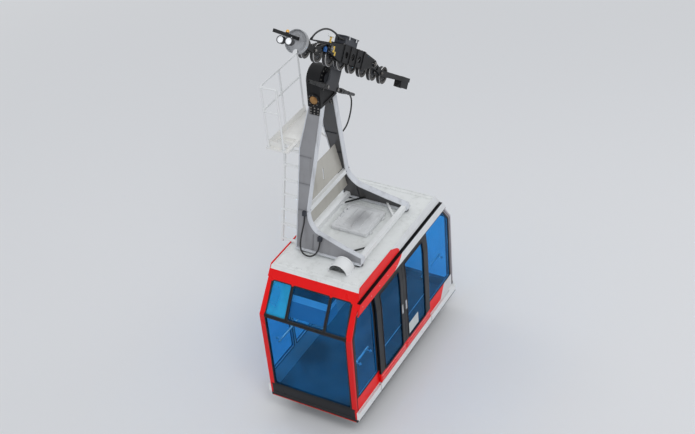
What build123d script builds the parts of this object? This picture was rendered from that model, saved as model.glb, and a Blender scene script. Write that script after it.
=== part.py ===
from build123d import *
import os
from math import atan2, ceil, cos, pi, radians, sin, tan

# Cable car cabin for about thirty people, hung beside one track rope by a gooseneck hanger.
# Frame: +Z up, +X downhill along the cabin, -Y the side with the doors.
# Origin: centre of the track rope, straight above the middle of the cabin.

# Driving dimensions, mm and degrees
CABIN_HEIGHT = 2300
HANGER_HEIGHT = 2830  # from the roof to the rope's centre
ROPE_HEIGHT = CABIN_HEIGHT + HANGER_HEIGHT  # above the cabin's bottom edge
ROPE_RADIUS = 22
SLOPE = 37  # fall of the rope towards +X

CABIN_LENGTH, CABIN_WIDTH = 3420, 1544  # at the bottom edge
WAIST = 1650  # height of the fold in the walls
WAIST_SHORTENING, ROOF_SHORTENING = 40, 900
WAIST_WIDENING, ROOF_NARROWING = 44, 32
WALL = 45
UNDERFRAME_TOP = 60
FLOOR_TOP = 100
ROOF_THICKNESS = 45
GLASS = 8
GLASS_INSET = 10  # from the wall's outer face to the pane
WINDOW_CORNER = 28

SILL_LOW, SILL_HEIGHT, SILL_DEPTH = 62, 143, 46
HEADER_BELOW_ROOF, HEADER_HEIGHT, HEADER_DEPTH = 175, 155, 56  # hood over the door track
EDGE_BELOW_ROOF, EDGE_RISE, EDGE_DEPTH = 150, 22, 14  # roof edge strip
SILL_TOP = SILL_LOW + SILL_HEIGHT
HEADER_TOP = CABIN_HEIGHT - HEADER_BELOW_ROOF
HEADER_LOW = HEADER_TOP - HEADER_HEIGHT

WINDOW_LOW, WINDOW_HEADROOM = 450, 10  # headroom up to the hood
CORNER_POST = 95
WAIST_BAR = 44
END_SILL_HEIGHT, END_TOP_BAND = 270, 180
WINDOW_BAR, WINDOW_BAR_Y = 32, 330  # two bars divide an end's upper window

DOOR_SILL_GAP, DOOR_HEADROOM = 12, 16
DOOR_CENTRE = -100  # the two leaves meet here
DOOR_LEAF = 860
DOOR_MEETING_GAP = 6
DOOR_GAP = 8  # between wall and leaf
DOOR_THICKNESS = 34
DOOR_STILE = 150  # at the leaf's outer end
MEETING_STILE = 95
DOOR_RAIL, DOOR_TOP_RAIL = 165, 70
DOOR_LAP = 60  # of a leaf over the wall, at its side and top

ROPE = radians(SLOPE)


def level(height):
    """Height above the cabin's bottom edge, as Z."""
    return height - ROPE_HEIGHT


def between(height, bottom, waist, top):
    """A size that changes straight from the bottom edge to the waist and on to the roof."""
    if height < WAIST:
        return bottom + (waist - bottom) * height / WAIST
    return waist + (top - waist) * (height - WAIST) / (CABIN_HEIGHT - WAIST)


def end_x(height):
    return between(height, CABIN_LENGTH, CABIN_LENGTH - WAIST_SHORTENING, CABIN_LENGTH - ROOF_SHORTENING) / 2


def side_y(height):
    return between(height, CABIN_WIDTH, CABIN_WIDTH + WAIST_WIDENING, CABIN_WIDTH - ROOF_NARROWING) / 2


def folded_sheet(edge, inner, outer, low, high):
    """Section of a sheet that follows a folded wall, from inner to outer beyond its outer face."""
    heights = [low, high] if low >= WAIST or high <= WAIST else [low, WAIST, high]
    outside = [(-edge(h) - outer, level(h)) for h in heights]
    inside = [(-edge(h) - inner, level(h)) for h in reversed(heights)]
    return outside + inside


def folded_outline(edge, inset, low, high):
    """Whole cross section of the cabin, left and right, pulled in by inset."""
    heights = [low, high] if low >= WAIST or high <= WAIST else [low, WAIST, high]
    left = [(-edge(h) + inset, level(h)) for h in heights]
    right = [(edge(h) - inset, level(h)) for h in reversed(heights)]
    return left + right


def polygon(points):
    Polygon(*points, align=None)


def write(piece, name):
    piece.part.label = name
    export_step(piece.part, f"parts/{name}.step")


os.makedirs("parts", exist_ok=True)
FAR = CABIN_LENGTH  # longer than any cut through the cabin

# Underframe: the black ring under the walls, with long and cross members
UNDERFRAME_RIM_WIDTH = 90
POCKET_X_COUNT, POCKET_Y_COUNT = 5, 3
pocket_length = (CABIN_LENGTH - 2 * UNDERFRAME_RIM_WIDTH) / POCKET_X_COUNT
pocket_width = (CABIN_WIDTH - 2 * UNDERFRAME_RIM_WIDTH) / POCKET_Y_COUNT
with BuildPart() as underframe:
    with BuildSketch(Plane.XZ):
        polygon(folded_outline(end_x, 0, 0, UNDERFRAME_TOP))
    extrude(amount=FAR, both=True)
    with BuildSketch(Plane.YZ):
        polygon(folded_outline(side_y, 0, 0, UNDERFRAME_TOP))
    extrude(amount=FAR, both=True, mode=Mode.INTERSECT)
    with BuildSketch(Plane.XY.offset(level(0))):
        with GridLocations(pocket_length, pocket_width, POCKET_X_COUNT, POCKET_Y_COUNT):
            Rectangle(pocket_length - UNDERFRAME_RIM_WIDTH, pocket_width - UNDERFRAME_RIM_WIDTH)
    extrude(amount=UNDERFRAME_TOP, mode=Mode.SUBTRACT)
write(underframe, "underframe")

# Floor, lying on the underframe inside the walls
with BuildPart() as floor_panel:
    with BuildSketch(Plane.XZ):
        polygon(folded_outline(end_x, WALL, UNDERFRAME_TOP, FLOOR_TOP))
    extrude(amount=FAR, both=True)
    with BuildSketch(Plane.YZ):
        polygon(folded_outline(side_y, WALL, UNDERFRAME_TOP, FLOOR_TOP))
    extrude(amount=FAR, both=True, mode=Mode.INTERSECT)
write(floor_panel, "floor_panel")

# End frames: corner posts, top band, waist bar and sill in one, with an upper and a lower window
ROOF_LOW = CABIN_HEIGHT - ROOF_THICKNESS
UPPER_LOW, UPPER_HIGH = WAIST + WAIST_BAR / 2, CABIN_HEIGHT - END_TOP_BAND
with BuildSketch(Plane.YZ) as end_windows:
    polygon(folded_outline(side_y, CORNER_POST, END_SILL_HEIGHT, WAIST - WAIST_BAR / 2))
    polygon(folded_outline(side_y, CORNER_POST, UPPER_LOW, UPPER_HIGH))
    with Locations((0, level((UPPER_LOW + UPPER_HIGH) / 2))):
        with GridLocations(2 * WINDOW_BAR_Y, 0, 2, 1):
            Rectangle(WINDOW_BAR, UPPER_HIGH - UPPER_LOW, mode=Mode.SUBTRACT)
    fillet(vertices(), WINDOW_CORNER)

with BuildPart() as near_end_frame:
    with BuildSketch(Plane.XZ):
        polygon(folded_sheet(end_x, -WALL, 0, UNDERFRAME_TOP, ROOF_LOW))
    extrude(amount=FAR, both=True)
    with BuildSketch(Plane.YZ):
        polygon(folded_outline(side_y, 0, UNDERFRAME_TOP, ROOF_LOW))
    extrude(amount=FAR, both=True, mode=Mode.INTERSECT)
    extrude(end_windows.sketch, amount=-FAR, mode=Mode.SUBTRACT)
write(near_end_frame, "near_end_frame")

with BuildPart() as far_end_frame:
    add(mirror(near_end_frame.part, about=Plane.YZ))
write(far_end_frame, "far_end_frame")

with BuildPart() as end_glass:
    with BuildSketch(Plane.XZ):
        polygon(folded_sheet(end_x, -GLASS_INSET - GLASS, -GLASS_INSET, END_SILL_HEIGHT, UPPER_HIGH))
    extrude(amount=FAR, both=True)
    extrude(end_windows.sketch, amount=-FAR, mode=Mode.INTERSECT)
    mirror(about=Plane.YZ)
write(end_glass, "end_glass")

# Overhead console, fixed inside to the near end's top band and window bars
CONSOLE_RAISE, CONSOLE_HEADROOM = 50, 20  # above the waist, and up to the roof panel
CONSOLE_INNER = 10  # its inner face, short of the roof's end
console_low, console_top = WAIST + CONSOLE_RAISE, ROOF_LOW - CONSOLE_HEADROOM
console_inner = end_x(CABIN_HEIGHT) - CONSOLE_INNER
with BuildPart() as overhead_console:
    with BuildSketch(Plane.XZ):
        polygon([
            (-end_x(console_low) + WALL, level(console_low)),
            (-end_x(console_top) + WALL, level(console_top)),
            (-console_inner, level(console_top)), (-console_inner, level(console_low)),
        ])
    extrude(amount=WINDOW_BAR_Y, both=True)
write(overhead_console, "overhead_console")

# Roof panel with the hatch's kerb, and the ears of its two hinges
HATCH_X, HATCH_Y = 200, 50  # centre
HATCH_LENGTH, HATCH_WIDTH = 620, 600
HATCH_CLEARANCE = 6
HATCH_RISE = 30  # kerb above the roof
KERB = 25
LID_THICKNESS, LID_SKIRT = 24, 22
LID_OVERHANG = HATCH_CLEARANCE + 8
HINGE_OFFSET, HINGE_RISE = 17, 20  # pin's axis from the lid's edge, and above the roof
HINGE_PIN, HINGE_RADIUS = 6, 11
HINGE_SPACING = 400
LUG_LENGTH, EAR_LENGTH, HINGE_CLEARANCE = 40, 16, 6
RUNNING_CLEARANCE = 0.08
hinge_y = HATCH_Y - HATCH_WIDTH / 2 - LID_OVERHANG - HINGE_OFFSET
hinge_z = level(CABIN_HEIGHT) + HINGE_RISE
ear_centre = LUG_LENGTH / 2 + HINGE_CLEARANCE + EAR_LENGTH / 2
hinges = [HATCH_X - HINGE_SPACING / 2, HATCH_X + HINGE_SPACING / 2]
with BuildPart() as roof_panel:
    with BuildSketch(Plane.XZ):
        polygon(folded_outline(end_x, 0, ROOF_LOW, CABIN_HEIGHT))
    extrude(amount=FAR, both=True)
    with BuildSketch(Plane.YZ):
        polygon(folded_outline(side_y, 0, ROOF_LOW, CABIN_HEIGHT))
    extrude(amount=FAR, both=True, mode=Mode.INTERSECT)
    with BuildSketch(Plane.XY.offset(level(CABIN_HEIGHT))):
        with Locations((HATCH_X, HATCH_Y)):
            Rectangle(HATCH_LENGTH, HATCH_WIDTH)
    extrude(amount=HATCH_RISE)
    with BuildSketch(Plane.XY.offset(level(CABIN_HEIGHT) + HATCH_RISE)):
        with Locations((HATCH_X, HATCH_Y)):
            RectangleRounded(HATCH_LENGTH - 2 * KERB, HATCH_WIDTH - 2 * KERB, WINDOW_CORNER)
    extrude(amount=-HATCH_RISE - ROOF_THICKNESS, mode=Mode.SUBTRACT)
    for x in hinges:
        for side in (-1, 1):
            with BuildSketch(Plane.YZ.offset(x + side * ear_centre)):
                with Locations((hinge_y, hinge_z)):
                    Circle(HINGE_RADIUS)
                with Locations((hinge_y, hinge_z - HINGE_RISE / 2)):
                    Rectangle(2 * HINGE_RADIUS, HINGE_RISE)
                with Locations((hinge_y, hinge_z)):
                    Circle(HINGE_PIN + RUNNING_CLEARANCE, mode=Mode.SUBTRACT)
            extrude(amount=EAR_LENGTH / 2, both=True)
write(roof_panel, "roof_panel")

# Hatch lid: a tray over the kerb, with a lug and pin at each hinge along its -Y edge
lid_floor = level(CABIN_HEIGHT) + HATCH_RISE + HATCH_CLEARANCE
lid_low = lid_floor - LID_SKIRT
lid_outside = HATCH_LENGTH + 2 * LID_OVERHANG, HATCH_WIDTH + 2 * LID_OVERHANG
lid_inside = HATCH_LENGTH + 2 * HATCH_CLEARANCE, HATCH_WIDTH + 2 * HATCH_CLEARANCE
with BuildPart() as roof_hatch:
    with BuildSketch(Plane.XY.offset(lid_floor)):
        with Locations((HATCH_X, HATCH_Y)):
            RectangleRounded(lid_outside[0], lid_outside[1], WINDOW_CORNER)
    extrude(amount=LID_THICKNESS)
    with BuildSketch(Plane.XY.offset(lid_floor)):
        with Locations((HATCH_X, HATCH_Y)):
            RectangleRounded(lid_outside[0], lid_outside[1], WINDOW_CORNER)
            Rectangle(lid_inside[0], lid_inside[1], mode=Mode.SUBTRACT)
    extrude(amount=-LID_SKIRT)
    for x in hinges:
        with BuildSketch(Plane.YZ.offset(x)):
            with Locations((hinge_y, hinge_z)):
                Circle(HINGE_RADIUS)
            with Locations((hinge_y + HINGE_OFFSET / 2, (lid_low + hinge_z + HINGE_RADIUS) / 2)):
                Rectangle(HINGE_OFFSET, hinge_z + HINGE_RADIUS - lid_low)
        extrude(amount=LUG_LENGTH / 2, both=True)
        with BuildSketch(Plane.YZ.offset(x)):
            with Locations((hinge_y, hinge_z)):
                Circle(HINGE_PIN)
        extrude(amount=ear_centre + EAR_LENGTH / 2, both=True)
write(roof_hatch, "roof_hatch")

# Side walls: window posts, header and lower rail in one sheet per side
DOOR_LOW, DOOR_TOP = SILL_TOP + DOOR_SILL_GAP, HEADER_LOW - DOOR_HEADROOM
DOOR_START, DOOR_END = DOOR_CENTRE - DOOR_LEAF, DOOR_CENTRE + DOOR_LEAF
DOORWAY_TOP = DOOR_TOP - DOOR_LAP
DOORWAY = 2 * (DOOR_LEAF - DOOR_LAP)
SIDE_POST = 55
CORNER_SEAL = 55
WINDOW_TOP = HEADER_LOW - WINDOW_HEADROOM
# start and end of each window along X; None follows the cabin's end
DOOR_SIDE_WINDOWS = [(None, DOOR_START - SIDE_POST / 2), (DOOR_END + SIDE_POST / 2, None)]
LADDER_SIDE_WINDOWS = [
    (None, DOOR_START - SIDE_POST / 2),
    (DOOR_START + SIDE_POST / 2, DOOR_CENTRE - SIDE_POST / 2),
    (DOOR_CENTRE + SIDE_POST / 2, DOOR_END - SIDE_POST / 2),
    (DOOR_END + SIDE_POST / 2, None),
]


def side_window(start, end):
    """Outline of a side window, whose outer edge follows the folded end of the cabin."""
    heights = [WINDOW_LOW, WAIST, WINDOW_TOP]
    if start is None:
        near = [(-end_x(h) + WALL + CORNER_SEAL, level(h)) for h in heights]
    else:
        near = [(start, level(WINDOW_LOW)), (start, level(WINDOW_TOP))]
    if end is None:
        far = [(end_x(h) - WALL - CORNER_SEAL, level(h)) for h in heights]
    else:
        far = [(end, level(WINDOW_LOW)), (end, level(WINDOW_TOP))]
    return near + far[::-1]


walls, panes = [], []
for name, windows in (("door_side", DOOR_SIDE_WINDOWS), ("ladder_side", LADDER_SIDE_WINDOWS)):
    with BuildSketch(Plane.XZ) as side_windows:
        for start, end in windows:
            polygon(side_window(start, end))
        fillet(vertices(), WINDOW_CORNER)
    with BuildPart() as wall:
        with BuildSketch(Plane.YZ):
            polygon(folded_sheet(side_y, -WALL, 0, UNDERFRAME_TOP, ROOF_LOW))
        extrude(amount=FAR, both=True)
        with BuildSketch(Plane.XZ):
            polygon(folded_outline(end_x, WALL, UNDERFRAME_TOP, ROOF_LOW))
        extrude(amount=FAR, both=True, mode=Mode.INTERSECT)
        extrude(side_windows.sketch, amount=FAR, mode=Mode.SUBTRACT)
        if name == "door_side":
            with BuildSketch(Plane.XZ):
                with Locations((DOOR_CENTRE, level((FLOOR_TOP + DOORWAY_TOP) / 2))):
                    Rectangle(DOORWAY, DOORWAY_TOP - FLOOR_TOP)
                fillet(vertices(), WINDOW_CORNER)
            extrude(amount=FAR, mode=Mode.SUBTRACT)
        if name == "ladder_side":
            mirror(about=Plane.XZ, mode=Mode.REPLACE)
    write(wall, f"{name}_wall")
    walls.append(wall.part)
    with BuildPart() as glass:
        with BuildSketch(Plane.YZ):
            polygon(folded_sheet(side_y, -GLASS_INSET - GLASS, -GLASS_INSET, WINDOW_LOW, WINDOW_TOP))
        extrude(amount=FAR, both=True)
        extrude(side_windows.sketch, amount=FAR, mode=Mode.INTERSECT)
        if name == "ladder_side":
            mirror(about=Plane.XZ, mode=Mode.REPLACE)
    panes.append(glass.part)

with BuildPart() as side_glass:
    add(panes)
write(side_glass, "side_glass")

# Sills along both sides, with the groove for the door leaves' guide shoes on the -Y side
SHOE, SHOE_DROP, SHOE_LENGTH = 8, 30, 120
SHOE_CLEARANCE = 6
tab_centre = DOOR_GAP + DOOR_THICKNESS / 2  # middle of a leaf, outside the wall
with BuildPart() as sills:
    with BuildSketch(Plane.YZ):
        polygon(folded_sheet(side_y, 0, SILL_DEPTH, SILL_LOW, SILL_TOP))
    extrude(amount=FAR, both=True)
    with BuildSketch(Plane.XZ):
        polygon(folded_outline(end_x, 0, SILL_LOW, SILL_TOP))
    extrude(amount=FAR, both=True, mode=Mode.INTERSECT)
    mirror(about=Plane.XZ)
    with BuildSketch(Plane.XY.offset(level(SILL_TOP))):
        with Locations((DOOR_CENTRE, -side_y(DOOR_LOW) - tab_centre)):
            Rectangle(2 * DOORWAY, SHOE + 2 * SHOE_CLEARANCE)
    extrude(amount=DOOR_SILL_GAP - SHOE_DROP - SHOE_CLEARANCE, mode=Mode.SUBTRACT)
write(sills, "sills")

# Roof edge strips along both sides
with BuildPart() as roof_edges:
    with BuildSketch(Plane.YZ):
        polygon(folded_sheet(side_y, 0, EDGE_DEPTH, CABIN_HEIGHT - EDGE_BELOW_ROOF, CABIN_HEIGHT + EDGE_RISE))
    extrude(amount=FAR, both=True)
    with BuildSketch(Plane.XZ):
        polygon(folded_outline(end_x, 0, CABIN_HEIGHT - EDGE_BELOW_ROOF, CABIN_HEIGHT + EDGE_RISE))
    extrude(amount=FAR, both=True, mode=Mode.INTERSECT)
    mirror(about=Plane.XZ)
write(roof_edges, "roof_edges")

# Hood of the door track: a channel open below, in which the leaves' hangers run
TAB = 12  # hanger plate
TAB_CLEARANCE = 7
TAB_RISE = 80
TAB_LENGTH, TAB_SPACING = 90, 520
track = TAB + 2 * TAB_CLEARANCE
track_top = DOOR_TOP + TAB_RISE + TAB_CLEARANCE
with BuildPart() as door_hood:
    with BuildSketch(Plane.YZ):
        polygon(folded_sheet(side_y, 0, HEADER_DEPTH, HEADER_LOW, HEADER_TOP))
    extrude(amount=FAR, both=True)
    with BuildSketch(Plane.XZ):
        polygon(folded_outline(end_x, 0, HEADER_LOW, HEADER_TOP))
    extrude(amount=FAR, both=True, mode=Mode.INTERSECT)
    with BuildSketch(Plane.YZ):
        with Locations((-side_y(DOOR_TOP) - tab_centre, level((HEADER_LOW + track_top) / 2))):
            Rectangle(track, track_top - HEADER_LOW)
    extrude(amount=FAR, both=True, mode=Mode.SUBTRACT)
write(door_hood, "door_hood")

# Door leaves: folded like the wall, sliding outside it, each on two hangers and two guide shoes
DOOR_WINDOW_LOW, DOOR_WINDOW_TOP = DOOR_LOW + DOOR_RAIL, DOOR_TOP - DOOR_TOP_RAIL
half_gap = DOOR_MEETING_GAP / 2
DOOR_LEAVES = [  # name, start and end along X, width of the stile at its start and at its end
    ("near", DOOR_START, DOOR_CENTRE - half_gap, DOOR_STILE, MEETING_STILE),
    ("far", DOOR_CENTRE + half_gap, DOOR_END, MEETING_STILE, DOOR_STILE),
]
for name, start, end, start_stile, end_stile in DOOR_LEAVES:
    window_start, window_end = start + start_stile, end - end_stile
    with BuildSketch(Plane.XZ) as leaf_window:
        with Locations(((window_start + window_end) / 2, level((DOOR_WINDOW_LOW + DOOR_WINDOW_TOP) / 2))):
            RectangleRounded(window_end - window_start, DOOR_WINDOW_TOP - DOOR_WINDOW_LOW, WINDOW_CORNER)
    with BuildPart() as leaf:
        with BuildSketch(Plane.YZ.offset(start)):
            polygon(folded_sheet(side_y, DOOR_GAP, DOOR_GAP + DOOR_THICKNESS, DOOR_LOW, DOOR_TOP))
        extrude(amount=end - start)
        extrude(leaf_window.sketch, amount=FAR, mode=Mode.SUBTRACT)
        with BuildSketch(Plane.XY.offset(level(DOOR_TOP))):
            with Locations(((start + end) / 2, -side_y(DOOR_TOP) - tab_centre)):
                with GridLocations(TAB_SPACING, 0, 2, 1):
                    Rectangle(TAB_LENGTH, TAB)
        extrude(amount=TAB_RISE)
        with BuildSketch(Plane.XY.offset(level(DOOR_LOW))):
            with Locations(((start + end) / 2, -side_y(DOOR_LOW) - tab_centre)):
                with GridLocations(TAB_SPACING, 0, 2, 1):
                    Rectangle(SHOE_LENGTH, SHOE)
        extrude(amount=-SHOE_DROP)
    write(leaf, f"door_leaf_{name}")
    pane = DOOR_GAP + DOOR_THICKNESS - GLASS_INSET
    with BuildPart() as leaf_glass:
        with BuildSketch(Plane.YZ.offset(start)):
            polygon(folded_sheet(side_y, pane - GLASS, pane, DOOR_WINDOW_LOW, DOOR_WINDOW_TOP))
        extrude(amount=end - start)
        extrude(leaf_window.sketch, amount=FAR, mode=Mode.INTERSECT)
    write(leaf_glass, f"door_glass_{name}")

# Vent cowl: a half-round hood on the roof, open towards the near end
VENT_INSET, VENT_Y = 310, -280  # inset from the roof's near end
VENT_WIDTH, VENT_LENGTH, VENT_SHEET = 330, 230, 12
vent_x = VENT_INSET - end_x(CABIN_HEIGHT)
vent_mouth = Plane(
    origin=(vent_x - VENT_LENGTH / 2, VENT_Y, level(CABIN_HEIGHT)), x_dir=(0, 1, 0), z_dir=(1, 0, 0)
)
with BuildPart() as vent_cowl:
    with BuildSketch(vent_mouth):
        Circle(VENT_WIDTH / 2)
        Rectangle(VENT_WIDTH, VENT_WIDTH, align=(Align.CENTER, Align.MAX), mode=Mode.SUBTRACT)
    extrude(amount=VENT_LENGTH)
    with BuildSketch(vent_mouth):
        Circle(VENT_WIDTH / 2 - VENT_SHEET)
        Rectangle(VENT_WIDTH, VENT_WIDTH, align=(Align.CENTER, Align.MAX), mode=Mode.SUBTRACT)
    extrude(amount=VENT_LENGTH - VENT_SHEET, mode=Mode.SUBTRACT)
write(vent_cowl, "vent_cowl")

# Handrails inside, along both sides, on brackets from the walls
RAIL_RADIUS, BRACKET_RADIUS = 17, 11
RAIL_HEIGHT, RAIL_STANDOFF = 960, 75
RAIL_SPACE = 60  # from a rail's end to the doorway
END_SPACE = 230  # from a rail's end to the cabin's end
BRACKET_INSET = 70  # from a rail's end to its bracket
BRACKET_SPACING = 1500  # at most
wall_y = side_y(RAIL_HEIGHT) - WALL
rail_end = CABIN_LENGTH / 2 - END_SPACE
HANDRAILS = [  # start, end, side
    (-rail_end, DOOR_START - RAIL_SPACE, -1),
    (DOOR_END + RAIL_SPACE, rail_end, -1),
    (-rail_end, rail_end, 1),
]
with BuildPart() as handrails:
    for start, end, side in HANDRAILS:
        with BuildSketch(Plane.YZ.offset(start)):
            with Locations((side * (wall_y - RAIL_STANDOFF), level(RAIL_HEIGHT))):
                Circle(RAIL_RADIUS)
        extrude(amount=end - start)
        gaps = ceil((end - start - 2 * BRACKET_INSET) / BRACKET_SPACING)
        with BuildSketch(Plane.XZ.offset(-side * (wall_y - RAIL_STANDOFF))):
            with Locations(((start + end) / 2, level(RAIL_HEIGHT))):
                with GridLocations((end - start - 2 * BRACKET_INSET) / gaps, 0, gaps + 1, 1):
                    Circle(BRACKET_RADIUS)
        extrude(amount=-side * (RAIL_STANDOFF + WALL / 2))
    add(walls, mode=Mode.SUBTRACT)
write(handrails, "handrails")

# Hanger: two gooseneck legs that lean together towards the head, each one a bent girder with flanges
MOUNT_HEIGHT = 50
FOOT_X, FOOT_LEVEL = 750, CABIN_HEIGHT + MOUNT_HEIGHT  # centre and underside of a foot
HEAD_X, HEAD_LOW = 170, ROPE_HEIGHT - 560  # centre of a leg where it meets the head
LEG_THICKNESS, LEG_WEB, LEG_FLANGE = 100, 76, 14
FOOT_PLATE, FOOT_PLATE_WIDTH = 14, 150
LEG_OUTER, LEG_HEEL = 590, 545  # reach of the leg to the ladder's side and of its foot to the doors' side
LEG_TOP_OUTER, LEG_TOP_INNER = 455, 235
LEG_SHOULDER = 670  # from here down to the head's lower edge, the outer flange is straight
KNEE_START, KNEE_MIDDLE, KNEE_END = (250, 310), (365, 435), (405, 650)  # y, and height above the foot
FOOT_TIP_RISE, FOOT_BEND = 100, (200, 180)
LEG_REACH = 200  # beyond the cuts at foot and head
lean = atan2(FOOT_X - HEAD_X, HEAD_LOW - FOOT_LEVEL)
leg_plane = Plane(
    origin=(-FOOT_X, 0, level(FOOT_LEVEL)), x_dir=(0, 1, 0), z_dir=(cos(lean), 0, -sin(lean))
)
far_leg_plane = Plane(
    origin=(FOOT_X, 0, level(FOOT_LEVEL)), x_dir=(0, 1, 0), z_dir=(cos(lean), 0, sin(lean))
)


def along_leg(height):
    return (height - FOOT_LEVEL) / cos(lean)


def knee(point):
    return point[0], point[1] / cos(lean)


with BuildSketch(leg_plane) as leg_side:
    with BuildLine():
        Polyline(
            knee(KNEE_START), knee((-FOOT_BEND[0], FOOT_BEND[1])), knee((-LEG_HEEL, FOOT_TIP_RISE)),
            (-LEG_HEEL, -LEG_REACH), (LEG_OUTER, -LEG_REACH), (LEG_OUTER, along_leg(HEAD_LOW - LEG_SHOULDER)),
            (LEG_TOP_OUTER, along_leg(HEAD_LOW)), (LEG_TOP_OUTER, along_leg(HEAD_LOW) + LEG_REACH),
            (LEG_TOP_INNER, along_leg(HEAD_LOW) + LEG_REACH), (LEG_TOP_INNER, along_leg(HEAD_LOW)),
            knee(KNEE_END),
        )
        ThreePointArc(knee(KNEE_END), knee(KNEE_MIDDLE), knee(KNEE_START))
    make_face()
with BuildPart() as near_leg:
    with BuildSketch(leg_plane):
        add(leg_side.sketch_local)
    extrude(amount=LEG_WEB / 2, both=True)
    with BuildSketch(leg_plane):
        add(leg_side.sketch_local)
        offset(amount=-LEG_FLANGE, mode=Mode.SUBTRACT)
    extrude(amount=LEG_THICKNESS / 2, both=True)
    split(bisect_by=Plane.XY.offset(level(FOOT_LEVEL)), keep=Keep.TOP)
    split(bisect_by=Plane.XY.offset(level(HEAD_LOW)), keep=Keep.BOTTOM)
    with BuildSketch(Plane.XY.offset(level(FOOT_LEVEL))):
        with Locations((-FOOT_X, (LEG_OUTER - LEG_HEEL) / 2)):
            Rectangle(FOOT_PLATE_WIDTH, LEG_OUTER + LEG_HEEL)
    extrude(amount=FOOT_PLATE)
write(near_leg, "near_leg")

with BuildPart() as far_leg:
    add(mirror(near_leg.part, about=Plane.YZ))
write(far_leg, "far_leg")
legs = [near_leg.part, far_leg.part]

# Roof mounts: rubber blocks under the four ends of the feet
MOUNT_Y, MOUNT_RADIUS = 480, 60
with BuildPart() as roof_mounts:
    with BuildSketch(Plane.XY.offset(level(CABIN_HEIGHT))):
        with GridLocations(2 * FOOT_X, 2 * MOUNT_Y, 2, 2):
            Circle(MOUNT_RADIUS)
    extrude(amount=MOUNT_HEIGHT)
write(roof_mounts, "roof_mounts")

# Base beams between the feet, with a flat brace across each corner
BASE_BEAM_Y, BEAM_WIDTH, BEAM_DEPTH = 500, 70, 80
BEAM_RAISE = 16  # above the foot's underside
BRACE_Y, BRACE_X, BRACE_WIDTH, BRACE_SHEET = 130, 400, 45, 12
BRACE_RAISE = 45
with BuildPart() as base_beams:
    with BuildSketch(Plane.XY.offset(level(FOOT_LEVEL + BEAM_RAISE))):
        with GridLocations(0, 2 * BASE_BEAM_Y, 1, 2):
            Rectangle(2 * FOOT_X, BEAM_WIDTH)
    extrude(amount=BEAM_DEPTH)
    with BuildSketch(Plane.XY.offset(level(FOOT_LEVEL + BRACE_RAISE))):
        polygon([
            (FOOT_X, BRACE_Y), (FOOT_X, BRACE_Y + BRACE_WIDTH),
            (BRACE_X, BASE_BEAM_Y), (BRACE_X - BRACE_WIDTH, BASE_BEAM_Y),
        ])
        mirror(about=Plane.YZ)
        mirror(about=Plane.XZ)
    extrude(amount=BRACE_SHEET)
    add(legs, mode=Mode.SUBTRACT)
    split(bisect_by=Plane.YZ.offset(-FOOT_X), keep=Keep.TOP)
    split(bisect_by=Plane.YZ.offset(FOOT_X), keep=Keep.BOTTOM)
write(base_beams, "base_beams")

# Tie beam and the two web panels between the legs
TIE_RAISE, TIE_DEPTH = 590, 90  # above the feet
TIE_Y, TIE_WIDTH = 435, 50
tie_level = FOOT_LEVEL + TIE_RAISE
tie_span = 2 * (FOOT_X - TIE_RAISE * tan(lean))
with BuildPart() as tie_beam:
    with BuildSketch(Plane(origin=(-FOOT_X, TIE_Y, level(tie_level)), x_dir=(0, 1, 0), z_dir=(1, 0, 0))):
        Rectangle(TIE_WIDTH, TIE_DEPTH)
    extrude(amount=2 * FOOT_X)
    add(legs, mode=Mode.SUBTRACT)
    split(bisect_by=Plane.YZ.offset(-tie_span / 2), keep=Keep.TOP)
    split(bisect_by=Plane.YZ.offset(tie_span / 2), keep=Keep.BOTTOM)
write(tie_beam, "tie_beam")

PANEL_Y, PANEL_SHEET = 480, 8
PANEL_START, PANEL_END = 250, 1170  # above the feet
PANEL_SLOT, PANEL_SLOT_WIDTH = 220, 34  # the upper panel's hand slot
panels = [(PANEL_START, TIE_RAISE - TIE_DEPTH / 2), (TIE_RAISE + TIE_DEPTH / 2, PANEL_END)]
with BuildPart() as web_panels:
    for low, high in panels:
        with BuildSketch(Plane.XZ.offset(-PANEL_Y)):
            with Locations((0, level(FOOT_LEVEL + (low + high) / 2))):
                Rectangle(2 * FOOT_X, high - low)
        extrude(amount=PANEL_SHEET)
    add(legs, mode=Mode.SUBTRACT)
    with BuildSketch(Plane.XZ):
        polygon([
            (-FOOT_X, level(FOOT_LEVEL)), (-HEAD_X, level(HEAD_LOW)),
            (HEAD_X, level(HEAD_LOW)), (FOOT_X, level(FOOT_LEVEL)),
        ])
    extrude(amount=-FAR, mode=Mode.INTERSECT)
    with BuildSketch(Plane.XZ.offset(-PANEL_Y)):
        with Locations((0, level(tie_level + (PANEL_END - TIE_RAISE) / 2))):
            SlotOverall(PANEL_SLOT, PANEL_SLOT_WIDTH, rotation=90)
    extrude(amount=PANEL_SHEET, mode=Mode.SUBTRACT)
write(web_panels, "web_panels")

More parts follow.
